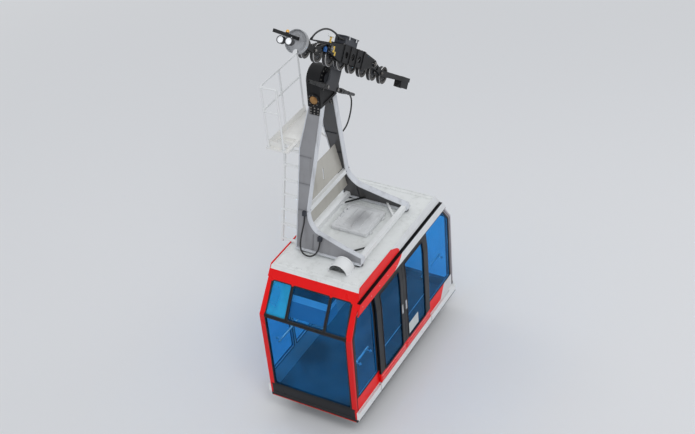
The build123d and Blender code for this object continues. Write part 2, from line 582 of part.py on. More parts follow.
# Head: the bearing housing that the legs meet in, on the axle beside the rope
AXLE_BELOW = 180  # axle straight below the rope's centre
AXLE_RADIUS = 55
HEAD_RADIUS, HEAD_FOOT = 210, 60
HEAD_RECESS, HEAD_RIM = 14, 40
with BuildPart() as hanger_head:
    with BuildSketch(Plane.XZ.offset(-LEG_TOP_INNER)):
        with Locations((0, -AXLE_BELOW)):
            Circle(HEAD_RADIUS)
        polygon([
            (-HEAD_X - HEAD_FOOT, level(HEAD_LOW)), (HEAD_X + HEAD_FOOT, level(HEAD_LOW)),
            (HEAD_RADIUS, -AXLE_BELOW), (-HEAD_RADIUS, -AXLE_BELOW),
        ])
    extrude(amount=LEG_TOP_INNER - LEG_TOP_OUTER)
    with BuildSketch(Plane.XZ.offset(-LEG_TOP_INNER), Plane.XZ.offset(-LEG_TOP_OUTER - HEAD_RECESS)):
        polygon([
            (-HEAD_X, level(HEAD_LOW) + HEAD_RIM), (HEAD_X, level(HEAD_LOW) + HEAD_RIM),
            (HEAD_X - HEAD_RIM, -AXLE_BELOW - HEAD_X), (-HEAD_X + HEAD_RIM, -AXLE_BELOW - HEAD_X),
        ])
    extrude(amount=-HEAD_RECESS, mode=Mode.SUBTRACT)
    with BuildSketch(Plane.XZ.offset(-LEG_TOP_INNER)):
        with Locations((0, -AXLE_BELOW)):
            Circle(AXLE_RADIUS + RUNNING_CLEARANCE)
    extrude(amount=LEG_TOP_INNER - LEG_TOP_OUTER, mode=Mode.SUBTRACT)
write(hanger_head, "hanger_head")

# Ladder on the near leg's outer edge, in the leg's own plane
LADDER_WIDTH = 270
RUNG_RADIUS = 14
RUNG_SPACING, RUNG_COUNT, FIRST_RUNG = 242, 7, 60
STILE_WIDTH, STILE_THICKNESS, STILE_END = 26, 40, 40
PLATFORM_BELOW, PLATFORM_SHEET = 1145, 30  # top of the platform below the rope
stile_y = LEG_OUTER + LADDER_WIDTH
platform_level = ROPE_HEIGHT - PLATFORM_BELOW
stile_low = FIRST_RUNG - STILE_END
stile_high = along_leg(platform_level - PLATFORM_SHEET)
with BuildPart() as ladder:
    with BuildSketch(leg_plane):
        with Locations((stile_y, (stile_low + stile_high) / 2)):
            Rectangle(STILE_WIDTH, stile_high - stile_low)
    extrude(amount=STILE_THICKNESS / 2, both=True)
    for k in range(RUNG_COUNT):
        rung_start = leg_plane.from_local_coords((LEG_OUTER, FIRST_RUNG + k * RUNG_SPACING, 0))
        with BuildSketch(Plane(origin=rung_start, z_dir=(0, 1, 0))):
            Circle(RUNG_RADIUS)
        extrude(amount=LADDER_WIDTH)
    split(bisect_by=Plane.XY.offset(level(platform_level - PLATFORM_SHEET)), keep=Keep.BOTTOM)
write(ladder, "ladder")

# Platform beside the hanger on two brackets and two stays, with the ladder's opening and a toe board
PLATFORM_NEAR, PLATFORM_FAR = -650, 450
PLATFORM_SPACE, PLATFORM_WIDTH = 30, 380  # space to the legs
PLATFORM_RIM = 60
BRACKET = 60
BRACKET_OVERLAP = 60  # into the leg, before it is cut to the leg's face
OPENING_LENGTH, OPENING_WIDTH = 270, 250
TOE_BOARD, TOE_SHEET = 100, 5
STAY_WIDTH, STAY_THICKNESS = 34, 12
platform_inner = LEG_OUTER + PLATFORM_SPACE
platform_outer = platform_inner + PLATFORM_WIDTH
platform_middle = (platform_inner + platform_outer) / 2
bracket_low = platform_level - PLATFORM_SHEET - BRACKET
bracket_x = FOOT_X - (bracket_low + BRACKET / 2 - FOOT_LEVEL) * tan(lean)

# Railing sizes, which the toe board stays inside
TUBE = 17
TOP_RAIL, MIDDLE_RAIL = 1015, 615  # above the platform
POST_INSET, RETURN_INSET = 20, 80  # from the platform's edge
MIDDLE_POST = -100
rail_near, rail_far = PLATFORM_NEAR + POST_INSET, PLATFORM_FAR - POST_INSET
rail_outer, rail_return = platform_outer - POST_INSET, platform_inner + RETURN_INSET
toe_y = rail_outer - TUBE - TOE_SHEET
toe_x = rail_near + TUBE
STAYS = [  # plane, where it starts from the ladder's stile or the leg, drop below the bracket
    (leg_plane, stile_y + STILE_WIDTH / 2, 110),
    (far_leg_plane, LEG_OUTER, 300),
]
with BuildPart() as platform:
    with BuildSketch(Plane.XY.offset(level(platform_level - PLATFORM_SHEET))):
        with Locations(((PLATFORM_NEAR + PLATFORM_FAR) / 2, platform_middle)):
            Rectangle(PLATFORM_FAR - PLATFORM_NEAR, PLATFORM_WIDTH)
        with Locations((PLATFORM_NEAR + PLATFORM_RIM + OPENING_LENGTH / 2, platform_middle)):
            Rectangle(OPENING_LENGTH, OPENING_WIDTH, mode=Mode.SUBTRACT)
    extrude(amount=PLATFORM_SHEET)
    with BuildSketch(Plane.XY.offset(level(platform_level))):
        with Locations(((toe_x + PLATFORM_FAR) / 2, toe_y + TOE_SHEET / 2)):
            Rectangle(PLATFORM_FAR - toe_x, TOE_SHEET)
        with Locations((toe_x + TOE_SHEET / 2, (rail_return + toe_y) / 2)):
            Rectangle(TOE_SHEET, toe_y - rail_return)
    extrude(amount=TOE_BOARD)
    with BuildSketch(Plane.XY.offset(level(bracket_low))):
        with Locations((0, (LEG_OUTER - BRACKET_OVERLAP + platform_outer) / 2)):
            with GridLocations(2 * bracket_x, 0, 2, 1):
                Rectangle(BRACKET, platform_outer - LEG_OUTER + BRACKET_OVERLAP)
    extrude(amount=BRACKET)
    for plane, stay_foot, drop in STAYS:
        stay_low, stay_top = along_leg(bracket_low - drop), along_leg(bracket_low)
        with BuildSketch(plane):
            polygon([
                (stay_foot, stay_low), (stay_foot, stay_low - STAY_WIDTH),
                (platform_outer, stay_top), (platform_outer - STAY_WIDTH, stay_top),
            ])
        extrude(amount=STAY_THICKNESS / 2, both=True)
    add([near_leg.part, far_leg.part, ladder.part], mode=Mode.SUBTRACT)
write(platform, "platform")

# Railing: top and middle rails round the outer edge and the near end, on posts
POSTS = [(rail_near, rail_return), (rail_near, rail_outer), (MIDDLE_POST, rail_outer), (rail_far, rail_outer)]
with BuildPart() as railing:
    for height in (TOP_RAIL, MIDDLE_RAIL):
        z = level(platform_level + height)
        with BuildLine() as rail_line:
            Polyline((rail_near, rail_return, z), (rail_near, rail_outer, z), (rail_far, rail_outer, z))
        with BuildSketch(Plane(origin=rail_line.line @ 0, z_dir=rail_line.line % 0)):
            Circle(TUBE)
        sweep(path=rail_line.line, transition=Transition.RIGHT)
    for x, y in POSTS:
        with BuildSketch(Plane.XY.offset(level(platform_level))):
            with Locations((x, y)):
                Circle(TUBE)
        extrude(amount=TOP_RAIL)
write(railing, "railing")

# Carriage, drawn along the rope: first axis downhill along the rope, second square to it, upwards.
# Its middle is the point of the rope that lies square above the axle.
MIDDLE = AXLE_BELOW * sin(ROPE)


def on_rope(along, up, y=0):
    """A point given along the rope from the carriage's middle, above the rope and sideways."""
    x = (MIDDLE + along) * cos(ROPE) + up * sin(ROPE)
    return Vector(x, y, up * cos(ROPE) - (MIDDLE + along) * sin(ROPE))


def rope_plane(y):
    """A plane along the rope, upright, that faces -Y: for plates."""
    return Plane(origin=on_rope(0, 0, y), x_dir=(cos(ROPE), 0, -sin(ROPE)), z_dir=(0, -1, 0))


def deck_plane(along, up, y=0):
    """A plane that lies along the rope, for decks and turned parts."""
    square_up = (sin(ROPE), 0, cos(ROPE))
    return Plane(origin=on_rope(along, up, y), x_dir=(cos(ROPE), 0, -sin(ROPE)), z_dir=square_up)


def cross_plane(along, up, y=0):
    """A plane square to the rope that faces downhill, its first axis along +Y."""
    return Plane(origin=on_rope(along, up, y), x_dir=(0, 1, 0), z_dir=(cos(ROPE), 0, -sin(ROPE)))


def plates(inner, outer):
    """The planes from which a pair of plates is extruded towards -Y."""
    return rope_plane(outer), rope_plane(-inner)


WHEEL_TREAD, WHEEL_FLANGE, WHEEL_HALF_WIDTH = 110, 135, 30
WHEEL_RIM_WIDTH, WHEEL_WEB = 20, 44
WHEEL_AXLE = 18
GROOVE_HALF, GROOVE_FLAT = 24, 10  # half widths of the groove at the flange and at the tread
WHEEL_SPACING = 360
WHEEL_UP = ROPE_RADIUS + WHEEL_TREAD
BOGIE_INNER, BOGIE_OUTER = 40, 52  # plates, from the middle
ROCKER_INNER, ROCKER_OUTER = 60, 74
BEAM_INNER, BEAM_OUTER = 84, 104
BOGIE_PIN, ROCKER_PIN = 20, 28
PIN_WALL = 15
BOGIE_PIVOT_UP, ROCKER_PIVOT_UP = 150, 240
ROCKER_ALONG = 2 * WHEEL_SPACING  # from the carriage's middle to a rocker's pivot

# Wheels: rims with a groove for the rope, on flat webs
rim_inner = WHEEL_TREAD - WHEEL_RIM_WIDTH
wheel_bore = WHEEL_AXLE + RUNNING_CLEARANCE
for number in range(8):
    along = (number - 3.5) * WHEEL_SPACING
    with BuildPart() as wheel:
        with BuildSketch(deck_plane(along, WHEEL_UP)):
            polygon([
                (wheel_bore, -WHEEL_WEB / 2), (rim_inner, -WHEEL_WEB / 2), (rim_inner, -WHEEL_HALF_WIDTH),
                (WHEEL_FLANGE, -WHEEL_HALF_WIDTH), (WHEEL_FLANGE, -GROOVE_HALF), (WHEEL_TREAD, -GROOVE_FLAT),
                (WHEEL_TREAD, GROOVE_FLAT), (WHEEL_FLANGE, GROOVE_HALF), (WHEEL_FLANGE, WHEEL_HALF_WIDTH),
                (rim_inner, WHEEL_HALF_WIDTH), (rim_inner, WHEEL_WEB / 2), (wheel_bore, WHEEL_WEB / 2),
            ])
        revolve(axis=Axis(tuple(on_rope(along, WHEEL_UP)), (0, 1, 0)))
    write(wheel, f"wheel_{number + 1}")

# Bogies: a pair of plates with two wheels between them, arched over the rope
BOGIE_END, BOGIE_CROWN, BOGIE_ARCH = 36, 45, 62
for number in range(4):
    middle = (number - 1.5) * 2 * WHEEL_SPACING
    near_axle, far_axle = middle - WHEEL_SPACING / 2, middle + WHEEL_SPACING / 2
    with BuildPart() as bogie:
        with BuildSketch(*plates(BOGIE_INNER, BOGIE_OUTER)):
            with BuildLine():
                Polyline(
                    (near_axle, WHEEL_UP - BOGIE_END), (near_axle, WHEEL_UP + BOGIE_END),
                    (middle, BOGIE_PIVOT_UP + BOGIE_CROWN), (far_axle, WHEEL_UP + BOGIE_END),
                    (far_axle, WHEEL_UP - BOGIE_END),
                )
                ThreePointArc(
                    (far_axle, WHEEL_UP - BOGIE_END), (middle, WHEEL_UP + BOGIE_END - BOGIE_ARCH),
                    (near_axle, WHEEL_UP - BOGIE_END),
                )
            make_face()
            with Locations((near_axle, WHEEL_UP), (far_axle, WHEEL_UP)):
                Circle(BOGIE_END)
        extrude(amount=BOGIE_OUTER - BOGIE_INNER)
        with BuildSketch(rope_plane(BOGIE_OUTER)):
            with Locations((near_axle, WHEEL_UP), (far_axle, WHEEL_UP)):
                Circle(WHEEL_AXLE)
            with Locations((middle, BOGIE_PIVOT_UP)):
                Circle(BOGIE_PIN + PIN_WALL)
        extrude(amount=2 * BOGIE_OUTER)
        with BuildSketch(rope_plane(BOGIE_OUTER)):
            with Locations((middle, BOGIE_PIVOT_UP)):
                Circle(BOGIE_PIN + RUNNING_CLEARANCE)
        extrude(amount=2 * BOGIE_OUTER, mode=Mode.SUBTRACT)
    write(bogie, f"bogie_{number + 1}")

# Rockers: arched plates that carry two bogies each, with arms out to the rope guides
ROCKER_END, ROCKER_CROWN = 45, 65
ROCKER_HOLE, ROCKER_HOLE_SPACING, ROCKER_HOLE_UP = 30, 360, 190  # lightening holes
PIN_HEAD, PIN_HEAD_SHEET = 30, 8
ARM_END, ARM_LOW, ARM_HIGH = 2140, 150, 215
NEAR_ARM_END = 1460  # the near arms stop at the end shield
for name, side, arm_end in (("near", -1, NEAR_ARM_END), ("far", 1, ARM_END)):
    middle = side * ROCKER_ALONG
    near_pin, far_pin = middle - WHEEL_SPACING, middle + WHEEL_SPACING
    outer_pin = middle + side * WHEEL_SPACING
    with BuildPart() as rocker:
        with BuildSketch(*plates(ROCKER_INNER, ROCKER_OUTER)):
            with BuildLine():
                Polyline(
                    (near_pin, BOGIE_PIVOT_UP - ROCKER_END), (near_pin, BOGIE_PIVOT_UP + ROCKER_END),
                    (middle, ROCKER_PIVOT_UP + ROCKER_CROWN), (far_pin, BOGIE_PIVOT_UP + ROCKER_END),
                    (far_pin, BOGIE_PIVOT_UP - ROCKER_END),
                )
                ThreePointArc(
                    (far_pin, BOGIE_PIVOT_UP - ROCKER_END), (middle, ROCKER_PIVOT_UP - ROCKER_CROWN),
                    (near_pin, BOGIE_PIVOT_UP - ROCKER_END),
                )
            make_face()
            with Locations((near_pin, BOGIE_PIVOT_UP), (far_pin, BOGIE_PIVOT_UP)):
                Circle(ROCKER_END)
            polygon([
                (outer_pin, BOGIE_PIVOT_UP - ROCKER_END), (outer_pin, BOGIE_PIVOT_UP + ROCKER_END),
                (side * arm_end, ARM_HIGH), (side * arm_end, ARM_LOW),
            ])
            with Locations((middle, ROCKER_HOLE_UP)):
                with GridLocations(ROCKER_HOLE_SPACING, 0, 2, 1):
                    Circle(ROCKER_HOLE, mode=Mode.SUBTRACT)
        extrude(amount=ROCKER_OUTER - ROCKER_INNER)
        with BuildSketch(rope_plane(ROCKER_OUTER)):
            with Locations((near_pin, BOGIE_PIVOT_UP), (far_pin, BOGIE_PIVOT_UP)):
                Circle(BOGIE_PIN)
            with Locations((middle, ROCKER_PIVOT_UP)):
                Circle(ROCKER_PIN + PIN_WALL)
        extrude(amount=2 * ROCKER_OUTER)
        with BuildSketch(rope_plane(ROCKER_OUTER)):
            with Locations((middle, ROCKER_PIVOT_UP)):
                Circle(ROCKER_PIN + RUNNING_CLEARANCE)
        extrude(amount=2 * ROCKER_OUTER, mode=Mode.SUBTRACT)
        with BuildSketch(rope_plane(ROCKER_OUTER + PIN_HEAD_SHEET), rope_plane(-ROCKER_OUTER)):
            with Locations((outer_pin, BOGIE_PIVOT_UP)):
                Circle(PIN_HEAD)
        extrude(amount=PIN_HEAD_SHEET)
    write(rocker, f"rocker_{name}")

# Rope guides: forked blocks that straddle the rope at the arms' ends
GUIDE_LENGTH, GUIDE_LOW, GUIDE_TOP = 260, 40, ARM_HIGH
FORK_HALF, FORK_TOP = 36, 100
with BuildPart() as rope_guide_far:
    with BuildSketch(cross_plane(ARM_END - GUIDE_LENGTH, 0)):
        with Locations((0, (GUIDE_LOW + GUIDE_TOP) / 2)):
            Rectangle(2 * ROCKER_INNER, GUIDE_TOP - GUIDE_LOW)
        with Locations((0, (GUIDE_LOW + FORK_TOP) / 2)):
            Rectangle(2 * FORK_HALF, FORK_TOP - GUIDE_LOW, mode=Mode.SUBTRACT)
    extrude(amount=GUIDE_LENGTH)
write(rope_guide_far, "rope_guide_far")

# End shield at the near end: a dished disc square to the rope, notched over it
SHIELD_RADIUS, SHIELD_UP, SHIELD_DEPTH = 165, 185, 60
SHIELD_SHEET = 8
NOTCH_HALF = 45
shield_face = -NEAR_ARM_END - SHIELD_DEPTH
with BuildPart() as end_shield:
    with BuildSketch(cross_plane(shield_face, 0)):
        with Locations((0, SHIELD_UP)):
            Circle(SHIELD_RADIUS)
    extrude(amount=SHIELD_DEPTH)
    with BuildSketch(cross_plane(shield_face, 0)):
        with Locations((0, SHIELD_UP)):
            Circle(SHIELD_RADIUS - SHIELD_SHEET)
    extrude(amount=SHIELD_DEPTH - SHIELD_SHEET, mode=Mode.SUBTRACT)
    with BuildSketch(cross_plane(shield_face, 0)):
        SlotCenterToCenter(2 * NOTCH_HALF, 2 * NOTCH_HALF, rotation=90)
    extrude(amount=SHIELD_DEPTH, mode=Mode.SUBTRACT)
write(end_shield, "end_shield")

# Near rope guide: a bar out from the shield that carries the two lamps and the beacon
BAR_HALF, BAR_LOW, BAR_TOP = 14, 205, 250
with BuildPart() as rope_guide_near:
    with BuildSketch(rope_plane(BAR_HALF)):
        with Locations((-(NEAR_ARM_END + SHIELD_SHEET + ARM_END) / 2, (BAR_LOW + BAR_TOP) / 2)):
            Rectangle(ARM_END - NEAR_ARM_END - SHIELD_SHEET, BAR_TOP - BAR_LOW)
    extrude(amount=2 * BAR_HALF)
write(rope_guide_near, "rope_guide_near")

LAMP_ALONG, LAMP_UP, LAMP_Y = 1830, 150, 64
LAMP_RADIUS, LAMP_LENGTH = 54, 120
LAMP_BRACKET, LAMP_BRACKET_SHEET = 40, 16
with BuildPart() as lamps:
    with BuildSketch(cross_plane(-LAMP_ALONG, LAMP_UP)):
        with Locations((-LAMP_Y, 0), (LAMP_Y, 0)):
            Circle(LAMP_RADIUS)
    extrude(amount=LAMP_LENGTH)
    with BuildSketch(rope_plane(LAMP_Y + LAMP_RADIUS / 2)):
        with Locations((-LAMP_ALONG + LAMP_LENGTH / 2, LAMP_UP + LAMP_RADIUS)):
            Rectangle(LAMP_BRACKET, LAMP_BRACKET_SHEET)
    extrude(amount=2 * LAMP_Y + LAMP_RADIUS)
    add(rope_guide_near.part, mode=Mode.SUBTRACT)
write(lamps, "lamps")

BEACON_ALONG, BEACON_RADIUS, BEACON_HEIGHT, BEACON_ROUND = 1790, 24, 48, 14
with BuildPart() as beacon:
    with BuildSketch(deck_plane(-BEACON_ALONG, BAR_TOP)):
        Circle(BEACON_RADIUS)
    extrude(amount=BEACON_HEIGHT)
    chamfer(beacon.faces().sort_by(Axis.Z)[-1].edges(), BEACON_ROUND)
write(beacon, "beacon")

# Main beam: a pair of deep plates between the rockers' pins, tied by pins, a cross block and a deck,
# with an arm that holds the hose and a small aerial on a mast
BEAM_END, BEAM_TOP, BEAM_LOW = 60, 362, 110
BEAM_WAIST = 380  # half length of the deep part
BEAM_HOLE, BEAM_HOLE_UP, BEAM_HOLE_SPACING = 48, 225, 210
BEAM_RIB, BEAM_RIB_DEPTH = 12, 12
DECK_SHEET = 12
CROSS_HALF = 40
ROCKER_PIN_HEAD, ROCKER_PIN_HEAD_SHEET = 46, 14
ARM_Y, ARM_SHEET, ARM_REACH, ARM_UP = 94, 16, 1325, 270  # bar that holds the hose
arm_low = ROCKER_PIVOT_UP + BEAM_END - ARM_SHEET

MAST_ALONG, MAST_LOW, MAST_TOP, MAST_RADIUS = 760, 300, 395, 12
AERIAL_LENGTH, AERIAL_WIDTH, AERIAL_HEIGHT = 110, 50, 30

# Route of the hose from the control box to the arm: along the rope, above it and sideways
HOSE = 26
GLAND_RADIUS, GLAND_LENGTH = 17, 22
HOSE_ROUTE = [
    on_rope(along, up, y) for along, up, y in (
        (-327, 425, -60), (-400, 425, -60), (-500, 440, -64), (-620, 466, -70), (-745, 482, -77),
        (-870, 482, -84), (-990, 465, -90), (-1095, 430, -94), (-1185, 385, -94), (-1250, 335, -94),
        (-1283, 293, -94),
    )
]
with BuildPart() as main_beam:
    with BuildSketch(*plates(BEAM_INNER, BEAM_OUTER)):
        polygon([
            (-ROCKER_ALONG, ROCKER_PIVOT_UP + BEAM_END), (-BEAM_WAIST, BEAM_TOP - DECK_SHEET),
            (BEAM_WAIST, BEAM_TOP - DECK_SHEET), (ROCKER_ALONG, ROCKER_PIVOT_UP + BEAM_END),
            (ROCKER_ALONG, ROCKER_PIVOT_UP - BEAM_END), (BEAM_WAIST, BEAM_LOW),
            (-BEAM_WAIST, BEAM_LOW), (-ROCKER_ALONG, ROCKER_PIVOT_UP - BEAM_END),
        ])
        with Locations((-ROCKER_ALONG, ROCKER_PIVOT_UP), (ROCKER_ALONG, ROCKER_PIVOT_UP)):
            Circle(BEAM_END)
        with Locations((0, BEAM_HOLE_UP)):
            with GridLocations(BEAM_HOLE_SPACING, 0, 3, 1):
                Circle(BEAM_HOLE, mode=Mode.SUBTRACT)
    extrude(amount=BEAM_OUTER - BEAM_INNER)
    with BuildSketch(rope_plane(-BEAM_OUTER)):
        with Locations((0, (BEAM_LOW + BEAM_TOP) / 2)):
            with GridLocations(BEAM_HOLE_SPACING, 0, 4, 1):
                Rectangle(BEAM_RIB, BEAM_TOP - BEAM_LOW)
    extrude(amount=BEAM_RIB_DEPTH)
    with BuildSketch(rope_plane(BEAM_OUTER)):
        with Locations((-ROCKER_ALONG, ROCKER_PIVOT_UP), (ROCKER_ALONG, ROCKER_PIVOT_UP)):
            Circle(ROCKER_PIN)
        with Locations((0, BEAM_TOP - DECK_SHEET - CROSS_HALF / 2)):
            Rectangle(2 * CROSS_HALF, CROSS_HALF)
        with Locations((0, BEAM_TOP - DECK_SHEET / 2)):
            Rectangle(2 * BEAM_WAIST, DECK_SHEET)
    extrude(amount=2 * BEAM_OUTER)
    with BuildSketch(rope_plane(BEAM_OUTER + ROCKER_PIN_HEAD_SHEET), rope_plane(-BEAM_OUTER)):
        with Locations((-ROCKER_ALONG, ROCKER_PIVOT_UP), (ROCKER_ALONG, ROCKER_PIVOT_UP)):
            Circle(ROCKER_PIN_HEAD)
    extrude(amount=ROCKER_PIN_HEAD_SHEET)
    with BuildSketch(rope_plane(-ARM_Y + ARM_SHEET / 2)):
        polygon([
            (-BEAM_WAIST, BEAM_TOP - DECK_SHEET), (-ARM_REACH, ARM_UP), (-ARM_REACH, ARM_UP - ARM_SHEET),
            (-ROCKER_ALONG, arm_low), (-BEAM_WAIST, ROCKER_PIVOT_UP + BEAM_END),
        ])
    extrude(amount=ARM_SHEET)
    with BuildSketch(Plane(origin=HOSE_ROUTE[-1], z_dir=HOSE_ROUTE[-1] - HOSE_ROUTE[-2])):
        Circle(GLAND_RADIUS)
    extrude(amount=GLAND_LENGTH + ARM_SHEET / 2)
    with BuildSketch(deck_plane(-MAST_ALONG, MAST_LOW, -ARM_Y)):
        Circle(MAST_RADIUS)
    extrude(amount=MAST_TOP - MAST_LOW)
    with BuildSketch(deck_plane(-MAST_ALONG, MAST_TOP, -ARM_Y)):
        Rectangle(AERIAL_LENGTH, AERIAL_WIDTH)
    extrude(amount=AERIAL_HEIGHT)
write(main_beam, "main_beam")

# Yoke on the beam's +Y plate: it reaches down past the rope to the axle and the haul rope's lug
YOKE_SHEET = 24
YOKE_TOP, YOKE_HALF, YOKE_FLARE = 340, 150, -170
BOSS, BOSS_FOOT, BOSS_FLARE = 95, 140, 60
HEAD_CLEARANCE = 8
HAUL_UP = -262
LUG_HALF, LUG_DEPTH, HAUL_PIN_ALONG, HAUL_PIN = 190, 34, 160, 16
AXLE_END = 23  # beyond the head
CAP_RADIUS, CAP_SHEET = 85, 14
yoke_outer = BEAM_OUTER + YOKE_SHEET
axle_end = LEG_TOP_OUTER + AXLE_END
boss_face = LEG_TOP_INNER - HEAD_CLEARANCE
with BuildPart() as yoke:
    with BuildSketch(rope_plane(yoke_outer)):
        polygon([
            (-YOKE_HALF, YOKE_TOP), (YOKE_HALF, YOKE_TOP), (YOKE_HALF, YOKE_FLARE),
            (LUG_HALF, HAUL_UP + LUG_DEPTH), (LUG_HALF, HAUL_UP - LUG_DEPTH),
            (-LUG_HALF, HAUL_UP - LUG_DEPTH), (-LUG_HALF, HAUL_UP + LUG_DEPTH), (-YOKE_HALF, YOKE_FLARE),
        ])
        with Locations((-HAUL_PIN_ALONG, HAUL_UP), (HAUL_PIN_ALONG, HAUL_UP)):
            Circle(HAUL_PIN, mode=Mode.SUBTRACT)
    extrude(amount=YOKE_SHEET)
    with BuildSketch(Plane.XZ.offset(-yoke_outer)):
        with Locations((0, -AXLE_BELOW)):
            Circle(BOSS_FOOT)
    with BuildSketch(Plane.XZ.offset(-yoke_outer - BOSS_FLARE)):
        with Locations((0, -AXLE_BELOW)):
            Circle(BOSS)
    loft()
    with BuildSketch(Plane.XZ.offset(-boss_face)):
        with Locations((0, -AXLE_BELOW)):
            Circle(BOSS)
    extrude(amount=boss_face - yoke_outer)
    with BuildSketch(Plane.XZ.offset(-axle_end)):
        with Locations((0, -AXLE_BELOW)):
            Circle(AXLE_RADIUS)
    extrude(amount=axle_end - yoke_outer)
    with BuildSketch(Plane.XZ.offset(-axle_end)):
        with Locations((0, -AXLE_BELOW)):
            Circle(CAP_RADIUS)
    extrude(amount=CAP_SHEET)
write(yoke, "yoke")

# Haul rope sockets: forks on the lug, each with a neck and a cone
HAUL_ROPE = 11
FORK_LENGTH, NECK_LENGTH, CONE_LENGTH, SLEEVE_LENGTH = 90, 60, 210, 200
EAR, EAR_GAP = 14, 0.3
SOCKET_RADIUS, SOCKET_NOSE = 40, 24
HAUL_PIN_CLEARANCE = 0.05
haul_y = BEAM_OUTER + YOKE_SHEET / 2
fork_half = YOKE_SHEET / 2 + EAR_GAP + EAR
neck = HAUL_PIN_ALONG + FORK_LENGTH
cone = neck + NECK_LENGTH
nose = cone + CONE_LENGTH
with BuildPart() as haul_sockets:
    for side in (-1, 1):
        with BuildSketch(rope_plane(haul_y + fork_half), rope_plane(haul_y - fork_half + EAR)):
            with Locations((side * (HAUL_PIN_ALONG + FORK_LENGTH / 2), HAUL_UP)):
                Rectangle(FORK_LENGTH, 2 * LUG_DEPTH)
            with Locations((side * HAUL_PIN_ALONG, HAUL_UP)):
                Circle(LUG_DEPTH)
        extrude(amount=EAR)
        with BuildSketch(rope_plane(haul_y + fork_half)):
            with Locations((side * HAUL_PIN_ALONG, HAUL_UP)):
                Circle(HAUL_PIN - HAUL_PIN_CLEARANCE)
        extrude(amount=2 * fork_half)
        with BuildSketch(cross_plane(side * neck, HAUL_UP, haul_y)):
            Circle(SOCKET_RADIUS)
        extrude(amount=side * NECK_LENGTH)
        with BuildSketch(cross_plane(side * cone, HAUL_UP, haul_y)):
            Circle(SOCKET_RADIUS)
        with BuildSketch(cross_plane(side * nose, HAUL_UP, haul_y)):
            Circle(SOCKET_NOSE)
        loft()
write(haul_sockets, "haul_sockets")

# Sleeves at the sockets' noses, bored for the haul rope
with BuildPart() as haul_sleeves:
    for side in (-1, 1):
        with BuildSketch(cross_plane(side * nose, HAUL_UP, haul_y)):
            Circle(SOCKET_NOSE)
            Circle(HAUL_ROPE, mode=Mode.SUBTRACT)
        extrude(amount=side * SLEEVE_LENGTH)
write(haul_sleeves, "haul_sleeves")

# Control box on the deck, with a lid
BOX_LENGTH, BOX_HEIGHT, BOX_HALF_WIDTH, BOX_ALONG = 380, 105, 90, -115
BOX_CORNER, BOX_LID, BOX_LID_OVERHANG = 18, 20, 8
with BuildPart() as control_box:
    with BuildSketch(deck_plane(BOX_ALONG, BEAM_TOP)):
        RectangleRounded(BOX_LENGTH, 2 * BOX_HALF_WIDTH, BOX_CORNER)
    extrude(amount=BOX_HEIGHT)
    with BuildSketch(deck_plane(BOX_ALONG, BEAM_TOP + BOX_HEIGHT)):
        RectangleRounded(BOX_LENGTH, 2 * BOX_HALF_WIDTH, BOX_CORNER)
        offset(amount=BOX_LID_OVERHANG)
    extrude(amount=BOX_LID)
    with BuildSketch(Plane(origin=HOSE_ROUTE[0], z_dir=HOSE_ROUTE[0] - HOSE_ROUTE[1])):
        Circle(GLAND_RADIUS)
    extrude(amount=GLAND_LENGTH)
write(control_box, "control_box")

# Junction boxes of the hanger's two cables: two on the near leg, one on the head, one on the far leg
CABLE = 24
LEG_BOX, LEG_BOX_DEPTH, LEG_BOX_HEIGHT = 60, 50, 75
UPPER_BOX, LOWER_BOX = (450, 550), (170, 200)  # y, and the lower edge along the leg
HEAD_BOX, FAR_BOX = (220, 278, 380, -400), (420, 472, 400, -1490)  # x from and to, middle y, lower edge
BOX_SIZE = 78
UPPER_DROP, LOWER_DROP = 100, 80  # the roof cable's straight ends
cable_out = LEG_WEB / 2 + LEG_BOX_DEPTH / 2
with BuildPart() as cable_boxes:
    with BuildSketch(leg_plane.offset(-LEG_WEB / 2)):
        for y, low in (UPPER_BOX, LOWER_BOX):
            with Locations((y, low + LEG_BOX_HEIGHT / 2)):
                Rectangle(LEG_BOX, LEG_BOX_HEIGHT)
    extrude(amount=-LEG_BOX_DEPTH)
    for near, far, y, low in (HEAD_BOX, FAR_BOX):
        with BuildSketch(Plane.XZ.offset(-y)):
            with Locations(((near + far) / 2, low + BOX_SIZE / 2)):
                Rectangle(far - near, BOX_SIZE)
        extrude(amount=LEG_BOX / 2, both=True)
    add([hanger_head.part, near_leg.part, far_leg.part], mode=Mode.SUBTRACT)
write(cable_boxes, "cable_boxes")

# Cables and the hose: straight runs joined by arcs as large as the runs allow
ROOF_CABLE_ROUTE = [
    leg_plane.from_local_coords((UPPER_BOX[0], UPPER_BOX[1], -cable_out)),
    leg_plane.from_local_coords((UPPER_BOX[0], UPPER_BOX[1] - UPPER_DROP, -cable_out)),
    (-752, 458, -2430), (-815, 465, -2540), (-868, 462, -2655), (-900, 430, -2755), (-908, 340, -2795),
    (-890, 245, -2785), (-845, 185, -2725),
    leg_plane.from_local_coords((LOWER_BOX[0], LOWER_BOX[1] - LOWER_DROP, -cable_out)),
    leg_plane.from_local_coords((LOWER_BOX[0], LOWER_BOX[1], -cable_out)),
]
HANGER_CABLE_ROUTE = [
    (252, 380, -400), (252, 380, -485), (315, 384, -575), (430, 388, -655), (560, 392, -735),
    (700, 396, -825), (825, 400, -925), (895, 400, -1050), (870, 400, -1190), (800, 400, -1310),
    (710, 400, -1405), (590, 400, -1451), (472, 400, -1451),
]
ROUTES = [  # name, diameter, points
    ("roof_cable", CABLE, ROOF_CABLE_ROUTE),
    ("hanger_cable", CABLE, HANGER_CABLE_ROUTE),
    ("carriage_hose", HOSE, HOSE_ROUTE),
]
ARC_SHARE = 0.45  # of the shorter run, that an arc takes from each
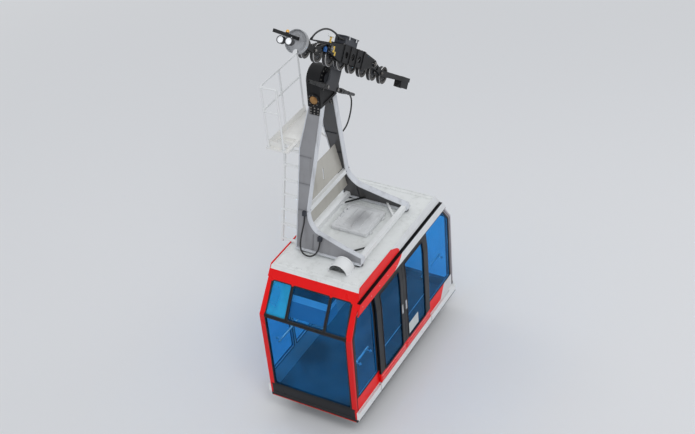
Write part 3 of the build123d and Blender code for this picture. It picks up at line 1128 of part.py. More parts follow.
for name, diameter, points in ROUTES:
    points = [Vector(point) for point in points]
    runs = [after - before for before, after in zip(points, points[1:])]
    radii = []
    for before, after in zip(runs, runs[1:]):
        half_turn = radians(before.get_angle(after)) / 2
        radii.append(ARC_SHARE * min(before.length, after.length) / tan(half_turn))
    with BuildPart() as cable:
        with BuildLine() as route:
            FilletPolyline(*points, radius=radii)
        with BuildSketch(Plane(origin=route.line @ 0, z_dir=route.line % 0)):
            Circle(diameter / 2)
        sweep(path=route.line)
    write(cable, name)
    length = route.wire().length
    share = cable.part.volume / (pi * diameter ** 2 / 4 * length)
    print(name, "length", round(length), "radii", [round(radius) for radius in radii])
    print("volume over section times length", round(share, 3))
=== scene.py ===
import math

import bmesh
import bpy
from mathutils import Matrix, Vector


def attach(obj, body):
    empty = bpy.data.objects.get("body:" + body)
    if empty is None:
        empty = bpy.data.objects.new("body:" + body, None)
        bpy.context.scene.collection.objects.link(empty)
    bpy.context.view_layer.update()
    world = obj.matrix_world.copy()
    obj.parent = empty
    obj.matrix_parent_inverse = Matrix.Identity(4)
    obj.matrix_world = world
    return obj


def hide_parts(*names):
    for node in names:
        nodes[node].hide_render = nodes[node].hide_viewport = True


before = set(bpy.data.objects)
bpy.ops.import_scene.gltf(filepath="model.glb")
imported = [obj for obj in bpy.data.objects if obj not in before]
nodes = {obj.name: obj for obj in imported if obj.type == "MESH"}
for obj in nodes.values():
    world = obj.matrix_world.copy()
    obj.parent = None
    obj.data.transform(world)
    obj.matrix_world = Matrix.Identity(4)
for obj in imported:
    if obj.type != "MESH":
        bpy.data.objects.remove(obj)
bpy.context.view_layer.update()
print("frame loaded,", len(nodes), "nodes")

# Places that the pieces share, in metres. The carriage falls towards +X, the doors face -Y.
car = {
    "fall": math.radians(37), "axleBelow": 0.180, "roof": -2.830, "bottom": -5.130,
    "foot": -2.780, "footX": 0.750, "footY": 0.480, "headX": 0.170, "headLow": -0.560, "deck": -1.145,
}
# The folded cabin: heights above its bottom edge, and its half length and width at the bottom, fold and top.
cabin = {"fold": 1.65, "top": 2.30, "length": (1.71, 1.69, 1.26), "width": (0.772, 0.794, 0.756)}

carriageMiddle = car["axleBelow"] * math.sin(car["fall"])
carriageFrame = Matrix.Rotation(car["fall"], 4, "Y") @ Matrix.Translation((carriageMiddle, 0, 0))
legLean = math.atan2(car["footX"] - car["headX"], car["headLow"] - car["foot"])
nearLegFrame = Matrix.Translation((-car["footX"], 0, car["foot"])) @ Matrix.Rotation(legLean, 4, "Y")
farLegFrame = Matrix.Translation((car["footX"], 0, car["foot"])) @ Matrix.Rotation(-legLean, 4, "Y")


def height(h):
    # height above the cabin's bottom edge, as z
    return car["bottom"] + h


def folded(h, low, middle, top):
    fold = cabin["fold"]
    if h < fold:
        return low + (middle - low) * h / fold
    return middle + (top - middle) * (h - fold) / (cabin["top"] - fold)


def endX(h):
    # half length of the cabin at a height above its bottom edge
    return folded(h, *cabin["length"])


def sideY(h):
    # half width of the cabin at a height above its bottom edge
    return folded(h, *cabin["width"])


def circle(count, radius):
    # pairs of coordinates round a circle
    turns = [2 * math.pi * k / count for k in range(count)]
    return [(radius * math.cos(turn), radius * math.sin(turn)) for turn in turns]


def deselect():
    if bpy.context.object and bpy.context.object.mode != "OBJECT":
        bpy.ops.object.mode_set(mode="OBJECT")
    bpy.ops.object.select_all(action="DESELECT")


def choose(*pieces):
    deselect()
    for piece in pieces:
        piece.select_set(True)
    bpy.context.view_layer.objects.active = pieces[0]


def soften(piece, width, rounds=2, angle=30):
    # rounds the edges that are sharper than the angle
    choose(piece)
    bevel = piece.modifiers.new("Bevel", "BEVEL")
    bevel.width, bevel.segments, bevel.limit_method = width, rounds, "ANGLE"
    bevel.angle_limit, bevel.use_clamp_overlap = math.radians(angle), True
    bpy.ops.object.modifier_apply(modifier=bevel.name)
    return piece


def fixedInPlace(name):
    # names the primitive just added, and takes its place and size into its mesh
    piece = bpy.context.object
    piece.name = name
    bpy.ops.object.transform_apply(location=True, rotation=True, scale=True)
    return piece


def block(name, low, high, edge=0.004, rounds=2):
    deselect()
    bpy.ops.mesh.primitive_cube_add(size=1, location=[(a + b) / 2 for a, b in zip(low, high)])
    bpy.context.object.scale = [abs(b - a) for a, b in zip(low, high)]
    piece = fixedInPlace(name)
    return soften(piece, edge, rounds) if edge else piece


def rod(name, start, end, radius, sides=20, edge=0.0):
    # a straight round bar between two points
    start, end = Vector(start), Vector(end)
    deselect()
    bpy.ops.mesh.primitive_cylinder_add(
        vertices=sides, radius=radius, depth=(end - start).length, location=(start + end) / 2,
        rotation=(end - start).to_track_quat("Z", "Y").to_euler())
    piece = fixedInPlace(name)
    return soften(piece, edge, 2, 50) if edge else piece


def ball(place, radius, segments, rings):
    deselect()
    bpy.ops.mesh.primitive_uv_sphere_add(segments=segments, ring_count=rings, radius=radius, location=place)
    return bpy.context.object


def lathe(name, profile, steps=48):
    # points of the profile are radius and height, spun round Z
    deselect()
    bpy.ops.mesh.primitive_plane_add(size=0.001)
    piece = bpy.context.object
    piece.name = name
    bpy.ops.object.mode_set(mode="EDIT")
    bpy.ops.mesh.select_mode(type="VERT")
    bpy.ops.mesh.select_all(action="SELECT")
    bpy.ops.mesh.merge(type="CENTER")
    bpy.ops.transform.translate(value=(profile[0][0], 0, profile[0][1]))
    for (r1, z1), (r2, z2) in zip(profile, profile[1:]):
        bpy.ops.mesh.extrude_region_move(TRANSFORM_OT_translate={"value": (r2 - r1, 0, z2 - z1)})
    bpy.ops.mesh.select_all(action="SELECT")
    bpy.ops.mesh.spin(steps=steps, angle=2 * math.pi, center=(0, 0, 0), axis=(0, 0, 1))
    bpy.ops.mesh.select_all(action="SELECT")
    bpy.ops.mesh.remove_doubles(threshold=0.00002)
    bpy.ops.mesh.normals_make_consistent(inside=False)
    bpy.ops.object.mode_set(mode="OBJECT")
    return piece


def pressed(piece, test, *steps):
    # insets the faces whose normal and middle pass the test, once for each width and depth
    choose(piece)
    bpy.ops.object.mode_set(mode="EDIT")
    bpy.ops.mesh.select_mode(type="FACE")
    bpy.ops.mesh.select_all(action="DESELECT")
    net = bmesh.from_edit_mesh(piece.data)
    for face in net.faces:
        face.select_set(bool(test(face.normal, face.calc_center_median())))
    bmesh.update_edit_mesh(piece.data)
    for width, depth in steps:
        bpy.ops.mesh.inset(thickness=width, depth=depth)
    bpy.ops.object.mode_set(mode="OBJECT")
    return piece


def joined(name, pieces):
    choose(*pieces)
    if len(pieces) > 1:
        bpy.ops.object.join()
    pieces[0].name = name
    return pieces[0]


def placed(piece, matrix):
    choose(piece)
    piece.matrix_world = matrix @ piece.matrix_world
    bpy.ops.object.transform_apply(location=True, rotation=True, scale=True)
    return piece


def copied(piece, matrix, name="copy"):
    choose(piece)
    bpy.ops.object.duplicate()
    twin = bpy.context.object
    twin.name = name
    return placed(twin, matrix)


def scattered(name, piece, matrices):
    # copies of one piece at many places, made one mesh
    made = [copied(piece, matrix) for matrix in matrices]
    bpy.data.objects.remove(piece)
    return joined(name, made)


def facing(point, direction):
    # turns +Z of a small piece to a direction, at a point
    return Matrix.Translation(point) @ Vector(direction).to_track_quat("Z", "Y").to_matrix().to_4x4()


def settle(piece, body, finish, slot, *stands, smooth=35):
    # the last step of each piece: shading, finish, body and the nodes that it stands for; the slot is not used
    choose(piece)
    bpy.ops.object.shade_smooth_by_angle(angle=math.radians(smooth))
    if finish is not None:  # None leaves the finishes that the piece has already
        piece.data.materials.clear()
        piece.data.materials.append(finish)
    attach(piece, body)
    if stands:
        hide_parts(*stands)
    return piece


def paintFaces(piece, finish, test):
    # one more finish on the faces that pass the test
    piece.data.materials.append(finish)
    index = len(piece.data.materials) - 1
    for face in piece.data.polygons:
        if test(face.normal, face.center):
            face.material_index = index


def boltHead(size):
    # a hexagon head on its washer
    deselect()
    bpy.ops.mesh.primitive_cylinder_add(vertices=6, radius=size, depth=size * 0.8, location=(0, 0, size * 0.6))
    head = bpy.context.object
    soften(head, size * 0.12, 1, 60)
    deselect()
    bpy.ops.mesh.primitive_cylinder_add(vertices=14, radius=size * 1.35, depth=size * 0.4,
                                        location=(0, 0, size * 0.1))
    return joined("bolt", [head, bpy.context.object])


def addBolts(name, size, places, body, finish):
    settle(scattered(name, boltHead(size), places), body, finish, "zinc")


class Signal:
    # wraps one socket, so that shader maths is written as expressions

    def __init__(self, finish, socket):
        self.finish, self.socket = finish, socket

    def maths(self, operation, *values):
        return self.finish.node("ShaderNodeMath", {"operation": operation}, values)

    def __add__(self, other):
        return self.maths("ADD", self, other)

    def __sub__(self, other):
        return self.maths("SUBTRACT", self, other)

    def __rsub__(self, other):
        return self.maths("SUBTRACT", other, self)

    def __mul__(self, other):
        return self.maths("MULTIPLY", self, other)

    def __gt__(self, other):
        return self.maths("GREATER_THAN", self, other)

    def __lt__(self, other):
        return self.maths("LESS_THAN", self, other)

    def absolute(self):
        return self.maths("ABSOLUTE", self)

    def above(self, other):
        return self.maths("MAXIMUM", self, other)

    def below(self, other):
        return self.maths("MINIMUM", self, other)

    def step(self, low, high):
        # 0 below low, 1 above high, smooth between
        return self.finish.node("ShaderNodeMapRange", {"interpolation_type": "SMOOTHSTEP"},
                                {"Value": self, "From Min": low, "From Max": high})

    __radd__ = __add__
    __rmul__ = __mul__


def opaque(colour):
    return (*colour, 1) if isinstance(colour, tuple) else colour


class Finish:
    # one material, or the world, its nodes made by one method

    def __init__(self, name, world=None):
        self.material = world or bpy.data.materials.new(name)
        self.material.use_nodes = True
        self.tree = self.material.node_tree
        self.tree.nodes.clear()
        self.spot = self.node("ShaderNodeTexCoord", output="Object")
        self.x, self.y, self.z = self.parts(self.spot)

    def node(self, kind, settings=None, sockets=(), output=0):
        made = self.tree.nodes.new(kind)
        for key, value in (settings or {}).items():
            setattr(made, key, value)
        for key, value in (sockets.items() if isinstance(sockets, dict) else enumerate(sockets)):
            if isinstance(value, Signal):
                self.tree.links.new(value.socket, made.inputs[key])
            else:
                made.inputs[key].default_value = value
        return Signal(self, made.outputs[output]) if len(made.outputs) else None

    def parts(self, vector):
        split = self.tree.nodes.new("ShaderNodeSeparateXYZ")
        self.tree.links.new(vector.socket, split.inputs[0])
        return [Signal(self, split.outputs[k]) for k in range(3)]

    def stretched(self, scale):
        return self.node("ShaderNodeMapping", {}, {"Vector": self.spot, "Scale": scale})

    def noise(self, scale, detail=4, rough=0.55, at=None):
        return self.node("ShaderNodeTexNoise", {},
                         {"Vector": at or self.spot, "Scale": scale, "Detail": detail, "Roughness": rough})

    def cells(self, scale):
        return self.node("ShaderNodeTexVoronoi", {"feature": "F1"}, {"Vector": self.spot, "Scale": scale})

    def seen(self):
        # 1 for what the camera sees, straight, mirrored or through glass
        rays = [self.node("ShaderNodeLightPath", output=f"Is {kind} Ray") for kind in
                ("Camera", "Glossy", "Transmission")]
        return rays[0].above(rays[1]).above(rays[2])

    def blend(self, first, second, amount, way="MIX"):
        # colour mix
        return self.node("ShaderNodeMix", {"data_type": "RGBA", "blend_type": way},
                         {0: amount, 6: opaque(first), 7: opaque(second)}, output=2)

    def edges(self, radius):
        # 0 on flats, up to 1 on outer and inner edges
        soft = self.node("ShaderNodeBevel", {"samples": 4}, {"Radius": radius})
        hard = self.node("ShaderNodeNewGeometry", output="Normal")
        dot = self.node("ShaderNodeVectorMath", {"operation": "DOT_PRODUCT"}, (soft, hard), output="Value")
        return (1 - dot).step(0.01, 0.16)

    def made(self, colour, rough, bump, lift, depth, more=()):
        # the shader, with an eased edge and a bump
        normal = self.node("ShaderNodeBevel", {"samples": 4}, {"Radius": 0.003})
        normal = self.node("ShaderNodeBump", {},
                           {"Strength": lift, "Distance": depth, "Height": bump, "Normal": normal})
        shader = self.node("ShaderNodeBsdfPrincipled", {},
                           {"Base Color": opaque(colour), "Roughness": rough, "Normal": normal, **dict(more)})
        self.node("ShaderNodeOutputMaterial", {}, {"Surface": shader})
        return self.material


def painted(name, colour, dirt=(0.10, 0.085, 0.07), amount=0.25, rough=0.35, coat=0.3, worn=0.0,
            bare=(0.34, 0.33, 0.32), grain=220, gleam=0.5):
    # sprayed metal: slow colour drift, rain streaks, orange peel and, where it is worn, bright edges
    f = Finish(name)
    if callable(colour):
        colour = colour(f)
    drift = f.noise(2.2, 5)
    streak = f.noise(9, 6, 0.6, at=f.stretched((1, 1, 0.09)))
    grime = ((streak.step(0.48, 0.8) * 0.8 + drift.step(0.45, 0.8) * 0.5) * amount).below(1.0)
    # with no colour of its own, the dirt is the paint's colour under a dusty film
    shade = f.blend(colour, dirt or f.blend(colour, (0.50, 0.45, 0.42), 1.0, "MULTIPLY"), grime)
    if worn:
        chips = f.edges(0.008) * f.noise(34, 5).step(0.42, 0.62) * worn
        shade = f.blend(shade, bare, chips)
    gloss = drift * 0.18 + (rough - 0.09) + grime * 0.25
    return f.made(shade, gloss, f.noise(grain, 3), 0.06, 0.001, {"Coat Weight": coat, "Specular IOR Level": gleam})


# Colours of the livery, one of them a red darkened as painted shade, and the heights and widths in metres at which
# they change.
livery = {
    "red": (0.93, 0.002, 0.003), "shadedLowRed": (0.80, 0.002, 0.004), "white": (0.84, 0.85, 0.85),
    "post": (0.007, 0.007, 0.008), "bar": (0.014, 0.014, 0.016), "lining": (0.46, 0.47, 0.49),
    "railTop": 0.452, "leafRailTop": 0.380, "sillTop": 0.262, "bandLow": 2.105, "postInside": 0.700,
    "barHalf": 0.035, "barInside": 0.715, "sillCorner": 0.742, "skin": 0.008, "farCorner": 0.070,
    "shadowBandTop": 2.156, "whiteFrom": 1.290, "whiteLean": 0.6,
}


def foldedSignal(f, low, middle, top):
    # the cabin's half width or length at the height of each point
    under = (middle - low) / cabin["fold"]
    over = (top - middle) / (cabin["top"] - cabin["fold"])
    rise = f.z - height(0)
    return (rise * under + low).below(rise * over + (middle - over * cabin["fold"]))


def wallZone(f):
    # red lower rail that turns white before the far end, near-black posts and headers, pale grey lining
    rail = (f.z < height(livery["railTop"])) * (f.z > height(0))
    start = livery["whiteFrom"]
    white = (f.x - (f.z - height(0.3)) * livery["whiteLean"]).step(start - 0.002, start + 0.002)
    outer = f.blend(livery["post"], f.blend(livery["red"], (0.72, 0.72, 0.74), white), rail)
    inner = f.y.absolute() < foldedSignal(f, *cabin["width"]) - livery["skin"]
    # the last hand's width before the far corner, as grey as the end frame
    corner = f.x > foldedSignal(f, *cabin["length"]) - livery["farCorner"]
    corner = corner * (f.z > height(livery["railTop"]))
    return f.blend(f.blend(outer, livery["lining"], inner), (0.44, 0.40, 0.44), corner)


def leafZone(f):
    return f.blend(livery["post"], livery["red"], f.z < height(livery["leafRailTop"]))


def postsAndBand(f):
    return (f.y.absolute() > livery["postInside"]).above(f.z > height(livery["bandLow"]))


def endZone(f):
    # red posts and top band, darker red below the fold as painted shade, black sill and waist bar
    fold = cabin["fold"]
    bar = ((f.z - height(fold)).absolute() < livery["barHalf"]) * (f.y.absolute() < livery["barInside"])
    aboveSill = (f.z > height(livery["sillTop"])).above(f.y.absolute() > livery["sillCorner"])
    # painted shade: the red is darker below the fold, where less light falls from above
    shade = f.blend(livery["shadedLowRed"], livery["red"], f.z.step(height(fold - 0.05), height(fold + 0.05)))
    return f.blend(livery["bar"], shade, postsAndBand(f) * (1 - bar) * aboveSill)


def farEndZone(f):
    grey = f.blend((0.38, 0.33, 0.37), (0.50, 0.46, 0.50), f.noise(3, 3))
    return f.blend(livery["bar"], grey, postsAndBand(f) * (f.z > height(livery["sillTop"])))


def hoodZone(f):
    # red from the near end to a rounded tip near the middle, then white, with a black band on the hood's top shelf
    # that is painted shade for the gap under the roof edge
    across = f.z - height(2.16)
    white = (f.x + across * across * 8.0).step(-0.042, -0.038)
    upwards = f.parts(f.node("ShaderNodeTexCoord", output="Normal"))[2]
    # painted shade: the hood's upward-facing top shelf is black where the gap under the roof edge lies in shadow
    gutter = (upwards > 0.6) * (f.z < height(livery["shadowBandTop"]))
    return f.blend(f.blend(livery["red"], (0.80, 0.81, 0.82), white), livery["post"], gutter)


def legZone(f):
    # grey webs inside pale flanges: the web's faces look along the leg's normal, close to its middle
    nx = f.parts(f.node("ShaderNodeTexCoord", output="Normal"))[0]
    side = f.x.absolute() * math.cos(legLean) + (f.z - car["foot"]) * math.sin(legLean)
    off = (side - car["footX"] * math.cos(legLean)).absolute()
    web = (nx.absolute() > 0.85) * (off < 0.043)
    grey = f.blend((0.25, 0.25, 0.265), (0.34, 0.34, 0.355), f.noise(2.5, 4))
    grey = f.blend(grey, (0.055, 0.055, 0.058), (f.x > 0) * (nx < -0.5))  # painted shade on the inward faces of the far leg's web
    return f.blend((0.70, 0.72, 0.76), grey, web)


def frameZone(f):
    # white base beams, with two of the corner braces painted black as shade
    shadedBrace = (f.y.absolute() < 0.425) * (f.x.absolute() < 0.700) * (f.x * f.y > 0)
    return f.blend(livery["white"], livery["post"], shadedBrace)


def hatchZone(f):
    # pale grey with a soft painted shadow across the middle
    flat = f.stretched((1.0, 1.5, 1.0))
    off = f.node("ShaderNodeVectorMath", {"operation": "DISTANCE"}, {0: flat, 1: (0.22, 0.06, -2.77)}, output="Value")
    # painted shadow: a soft dark patch across the middle of the hatch
    paintedShadow = (1 - (off + f.noise(6, 5) * 0.22).step(0.12, 0.46)) * 0.8
    return f.blend((0.74, 0.75, 0.76), (0.30, 0.30, 0.31), paintedShadow)


def consoleZone(f):
    # black hood, a pale bar under it, and a blue-grey panel down to the waist
    lower = f.blend((0.27, 0.33, 0.42), (0.82, 0.83, 0.86), f.z > height(1.900))
    return f.blend(lower, (0.006, 0.006, 0.007), f.z > height(1.985))


def zincFinish():
    # dipped zinc: angular spangles, each with its own sheen
    f = Finish("galvanisedZinc")
    spangle = f.cells(90)
    tone = f.noise(5, 4)
    shade = f.blend((0.50, 0.52, 0.54), (0.70, 0.71, 0.72), spangle * 0.6 + tone * 0.5)
    return f.made(shade, spangle * 0.25 + 0.32, spangle, 0.05, 0.0005, {"Metallic": 0.75})


def steelFinish(name, low, high, rough=0.22):
    f = Finish(name)
    rings = f.noise(160, 4, 0.7)
    stain = f.noise(7, 5).step(0.45, 0.75)
    return f.made(f.blend(low, high, 1 - stain), rings * 0.2 + rough, rings, 0.06, 0.0004, {"Metallic": 1.0})


def rubberFinish(name, tone, rough=0.62):
    f = Finish(name)
    dust = f.noise(12, 6).step(0.45, 0.85)
    shade = f.blend((tone, tone, tone * 1.1), (tone * 4, tone * 3.8, tone * 3.5), dust * 0.5)
    return f.made(shade, dust * 0.2 + rough, f.noise(300, 4), 0.12, 0.0006)


def floorFinish():
    # studded rubber mat
    f = Finish("studdedMat")
    studs = 1 - f.cells(38).step(0.16, 0.26)
    wear = f.noise(3, 5)
    shade = f.blend((0.035, 0.037, 0.040), (0.085, 0.088, 0.092), wear.step(0.35, 0.75) + studs * 0.2)
    return f.made(shade, wear * 0.2 + 0.5, studs, 0.5, 0.002)


def lampFinish(name, colour, glow, rough=0.12):
    # moulded lens with fine flutes
    f = Finish(name)
    flutes = f.noise(70, 2)
    shade = f.blend(colour, tuple(c * 0.82 for c in colour), flutes.step(0.35, 0.7))
    return f.made(shade, flutes * 0.1 + rough, flutes, 0.15, 0.001,
                  {"Coat Weight": 0.6, "Emission Color": opaque(colour), "Emission Strength": glow})


# A pane has two faces, so each face's tint is the square root of the pane's.
panes = {
    "mirror": (0.30, 0.60, 1.0), "bright": (0.01, 0.50, 0.82), "share": 0.13,
    "side": {"tint": (0.42, 0.77, 0.99), "film": (0.0, 0.27, 0.66)},
    "end": {"tint": (0.50, 0.80, 0.99), "film": (0.0, 0.27, 0.66)},
    "door": {"tint": (0.38, 0.74, 0.95), "film": (0.0, 0.23, 0.50)},
}


def glassFinish(name, tint, film, zone=None):
    # thin blue pane: see-through colour, blue mirror by angle, and a blue film whose brighter wide soft patches are
    # painted reflections
    f = Finish(name)
    share = panes["share"]
    clear = f.node("ShaderNodeBsdfTransparent", {}, {"Color": opaque(tint)})
    mirror = f.node("ShaderNodeBsdfGlossy", {}, {"Color": opaque(panes["mirror"]), "Roughness": 0.015})
    slant = f.node("ShaderNodeLayerWeight", {}, {"Blend": 0.5}, output="Facing")
    gloss = slant * slant * slant * slant * slant * 0.5 + 0.015
    pane = f.node("ShaderNodeMixShader", {}, (gloss, clear, mirror))
    # painted reflection: wide soft patches where the film is brighter
    reflectionPatches = f.noise(0.9, 3, 0.5, at=f.stretched((1.0, 1.0, 1.3))).step(0.32, 0.72)
    drops = f.noise(6, 6, at=f.stretched((1, 1, 0.3))).step(0.5, 0.9)
    colour = f.blend(tuple(c * 0.35 for c in film), film, reflectionPatches)
    amount = reflectionPatches * share * 0.6 + drops * 0.05 + share * 0.3
    if zone is not None:
        # the zone marks a painted reflection, bluer and brighter than the rest of the film
        bright = zone(f)
        colour = f.blend(colour, panes["bright"], bright)
        amount = amount + bright * 0.45
    skin = f.node("ShaderNodeBsdfPrincipled", {}, {"Base Color": colour, "Roughness": 0.25})
    f.node("ShaderNodeOutputMaterial", {}, {"Surface": f.node("ShaderNodeMixShader", {}, (amount, pane, skin))})
    return f.material


def endGlassReflection(f):
    # painted reflection: the upper outer pane on the ladder side is brighter than its neighbours
    return (f.z > height(1.66)) * (f.y > 0.33) * (f.noise(2.5, 3).step(0.25, 0.6) * 0.5 + 0.5)


wallPaint = painted("wallPaint", wallZone, rough=0.34, coat=0.08, amount=0.2, dirt=None, gleam=0.2)
leafPaint = painted("leafPaint", leafZone, rough=0.34, coat=0.08, amount=0.2, dirt=None, gleam=0.2)
endPaint = painted("endPaint", endZone, rough=0.30, coat=0.1, amount=0.18, dirt=None, gleam=0.2)
farEndPaint = painted("farEndPaint", farEndZone, rough=0.3, coat=0.4, amount=0.3)
hoodPaint = painted("hoodPaint", hoodZone, rough=0.32, coat=0.1, amount=0.2, dirt=None, gleam=0.2)
endLipPaint = painted("endLipPaint", (0.72, 0.03, 0.01), rough=0.4, coat=0.05, amount=0.3, dirt=None, gleam=0.2)
legPaint = painted("legPaint", legZone, rough=0.42, coat=0.15, amount=0.4, worn=0.35)
ribPaint = painted("ribPaint", (0.24, 0.24, 0.255), rough=0.45, coat=0.05, amount=0.4)
whitePaint = painted("whitePaint", livery["white"], rough=0.4, coat=0.2, amount=0.15, worn=0.15,
                     dirt=(0.45, 0.44, 0.42))
framePaint = painted("framePaint", frameZone, rough=0.4, coat=0.15, amount=0.15, dirt=None)
deckPaint = painted("deckPaint", (0.88, 0.87, 0.84), rough=0.5, coat=0.05, amount=0.2, worn=0.2,
                    dirt=(0.48, 0.46, 0.42))
roofPaint = painted("roofPaint", (0.84, 0.855, 0.845), rough=0.5, coat=0.05, amount=0.5,
                    dirt=(0.50, 0.51, 0.48), grain=420)
hatchPaint = painted("hatchPaint", hatchZone, rough=0.5, coat=0.05, amount=0.4, dirt=(0.36, 0.35, 0.34))
beigePaint = painted("beigePaint", (0.52, 0.50, 0.45), rough=0.45, coat=0.15, amount=0.5, dirt=(0.3, 0.28, 0.24))
chassisBlack = painted("chassisBlack", (0.010, 0.010, 0.011), rough=0.45, coat=0.0, amount=0.3,
                       dirt=(0.05, 0.045, 0.04), worn=0.3, gleam=0.25)
carriageBlack = painted("carriageBlack", (0.008, 0.0085, 0.010), rough=0.42, coat=0.0, amount=0.45,
                        dirt=(0.024, 0.018, 0.014), worn=0.4, bare=(0.12, 0.11, 0.10), gleam=0.22)
carriageGrey = painted("carriageGrey", (0.040, 0.043, 0.050), rough=0.45, coat=0.0, amount=0.5,
                       dirt=(0.07, 0.055, 0.045), worn=0.5, gleam=0.3)
oiledBlack = painted("oiledBlack", (0.012, 0.012, 0.013), rough=0.35, coat=0.05, amount=0.4, worn=0.5,
                     dirt=(0.035, 0.028, 0.022), bare=(0.16, 0.15, 0.14), gleam=0.35)
boxPaint = painted("boxPaint", (0.024, 0.028, 0.040), rough=0.4, coat=0.1, amount=0.4, worn=0.3,
                   dirt=(0.06, 0.055, 0.05), gleam=0.35)
shieldPaint = painted("shieldPaint", (0.40, 0.41, 0.43), rough=0.4, amount=0.6, worn=0.4)
markYellow = painted("markYellow", (0.72, 0.46, 0.03), rough=0.4, amount=0.5)
valveBlue = painted("valveBlue", (0.010, 0.11, 0.36), rough=0.35, coat=0.1, amount=0.4, dirt=None)
platePaint = painted("noticePaint", (0.60, 0.64, 0.63), rough=0.5, coat=0.1, amount=0.2)
consolePaint = painted("consolePaint", consoleZone, rough=0.5, coat=0.0, amount=0.15, grain=600, dirt=None)
consoleLight = painted("consoleLight", (0.80, 0.80, 0.82), rough=0.5, coat=0.0, amount=0.15, grain=600)
zinc = zincFinish()
brightSteel = steelFinish("brightSteel", (0.42, 0.41, 0.40), (0.70, 0.70, 0.71))
oiledSteel = steelFinish("oiledSteel", (0.10, 0.085, 0.07), (0.30, 0.29, 0.28), 0.3)
wheelSteel = steelFinish("wheelSteel", (0.035, 0.030, 0.027), (0.12, 0.115, 0.11), 0.35)
bronze = steelFinish("bronzeCap", (0.20, 0.10, 0.04), (0.42, 0.24, 0.10), 0.35)
gasket = rubberFinish("gasketRubber", 0.012)
mountRubber = rubberFinish("mountRubber", 0.016, 0.7)
linerRubber = rubberFinish("wheelLiner", 0.02, 0.4)
cableSheath = rubberFinish("cableSheath", 0.015, 0.5)
floorMat = floorFinish()
blueGlass = glassFinish("blueGlass", **panes["side"])
endGlass = glassFinish("endGlass", **panes["end"], zone=endGlassReflection)
doorGlass = glassFinish("doorGlass", **panes["door"])
lampLens = lampFinish("lampLens", (0.92, 0.93, 0.95), 0.25)
diffuserWhite = lampFinish("diffuserWhite", (0.85, 0.87, 0.90), 16.0, 0.4)
beaconYellow = lampFinish("beaconYellow", (0.85, 0.42, 0.02), 0.12)

finishOfNode = {
    "underframe": chassisBlack, "floor_panel": floorMat, "near_end_frame": endPaint,
    "far_end_frame": farEndPaint, "end_glass": endGlass, "roof_panel": roofPaint, "roof_hatch": hatchPaint,
    "door_side_wall": wallPaint, "ladder_side_wall": wallPaint, "side_glass": blueGlass, "sills": whitePaint,
    "roof_edges": hoodPaint, "door_hood": hoodPaint, "door_leaf_near": leafPaint, "door_leaf_far": leafPaint,
    "door_glass_near": doorGlass, "door_glass_far": doorGlass, "vent_cowl": whitePaint,
    "handrails": brightSteel, "near_leg": legPaint, "far_leg": legPaint, "roof_mounts": mountRubber,
    "base_beams": framePaint, "tie_beam": whitePaint, "web_panels": beigePaint, "ladder": whitePaint,
    "platform": deckPaint, "railing": whitePaint, "end_shield": shieldPaint, "lamps": carriageGrey,
    "beacon": bronze, "yoke": carriageGrey, "haul_sockets": oiledBlack, "haul_sleeves": oiledBlack,
    "control_box": boxPaint, "overhead_console": consolePaint, "cable_boxes": boxPaint, "roof_cable": cableSheath,
    "hanger_cable": cableSheath, "carriage_hose": cableSheath,
}
for name, node in nodes.items():
    # the beam, rockers, bogies, guides and head are all the carriage's black
    finish = finishOfNode.get(name, wheelSteel if name.startswith("wheel") else carriageBlack)
    node.data.materials.clear()
    node.data.materials.append(finish)
print("finishes on", len(nodes), "nodes")


def sidePoint(x, h, out=0.0, side=-1):
    # a point on the folded side wall, at a height and a distance out of its plane
    return Vector((x, side * (sideY(h) + out), height(h)))


def endPoint(y, h, out=0.0, side=-1):
    return Vector((side * (endX(h) + out), y, height(h)))


def roundedLoop(corners, radius, turns=5):
    # a closed flat loop with its corners rounded, and a stop where it crosses the fold
    fold = cabin["fold"]
    loop = []
    for k, corner in enumerate(corners):
        here = Vector(corner)
        back, ahead = (Vector(corners[k - 1]) - here), (Vector(corners[(k + 1) % len(corners)]) - here)
        if abs(back.normalized().dot(ahead.normalized())) > 0.97:  # nearly straight on
            loop.append(here)
            continue
        start, end = here + back.normalized() * radius, here + ahead.normalized() * radius
        for n in range(turns + 1):
            t = n / turns
            loop.append(start * (1 - t) ** 2 + here * 2 * t * (1 - t) + end * t * t)
    whole = []
    for k, point in enumerate(loop):
        whole.append(point)
        after = loop[(k + 1) % len(loop)]
        if (point.y - fold) * (after.y - fold) < -1e-6:
            whole.append(point.lerp(after, (fold - point.y) / (after.y - point.y)))
    return whole


def curveThrough(name, points, radius, kind, rings):
    line = bpy.data.curves.new(name, "CURVE")
    line.dimensions, line.bevel_depth, line.bevel_resolution = "3D", radius, rings
    spline = line.splines.new(kind)
    spline.points.add(len(points) - 1)
    for spot, point in zip(spline.points, points):
        spot.co = (*point, 1)
    piece = bpy.data.objects.new(name, line)
    bpy.context.collection.objects.link(piece)
    return piece


def tubeAlong(name, points, radius, closed=False):
    # a round bar along a line, as a mesh
    piece = curveThrough(name, points, radius, "POLY", 3)
    piece.data.use_fill_caps = not closed
    piece.data.splines[0].use_cyclic_u = closed
    choose(piece)
    bpy.ops.object.convert(target="MESH")
    return bpy.context.object
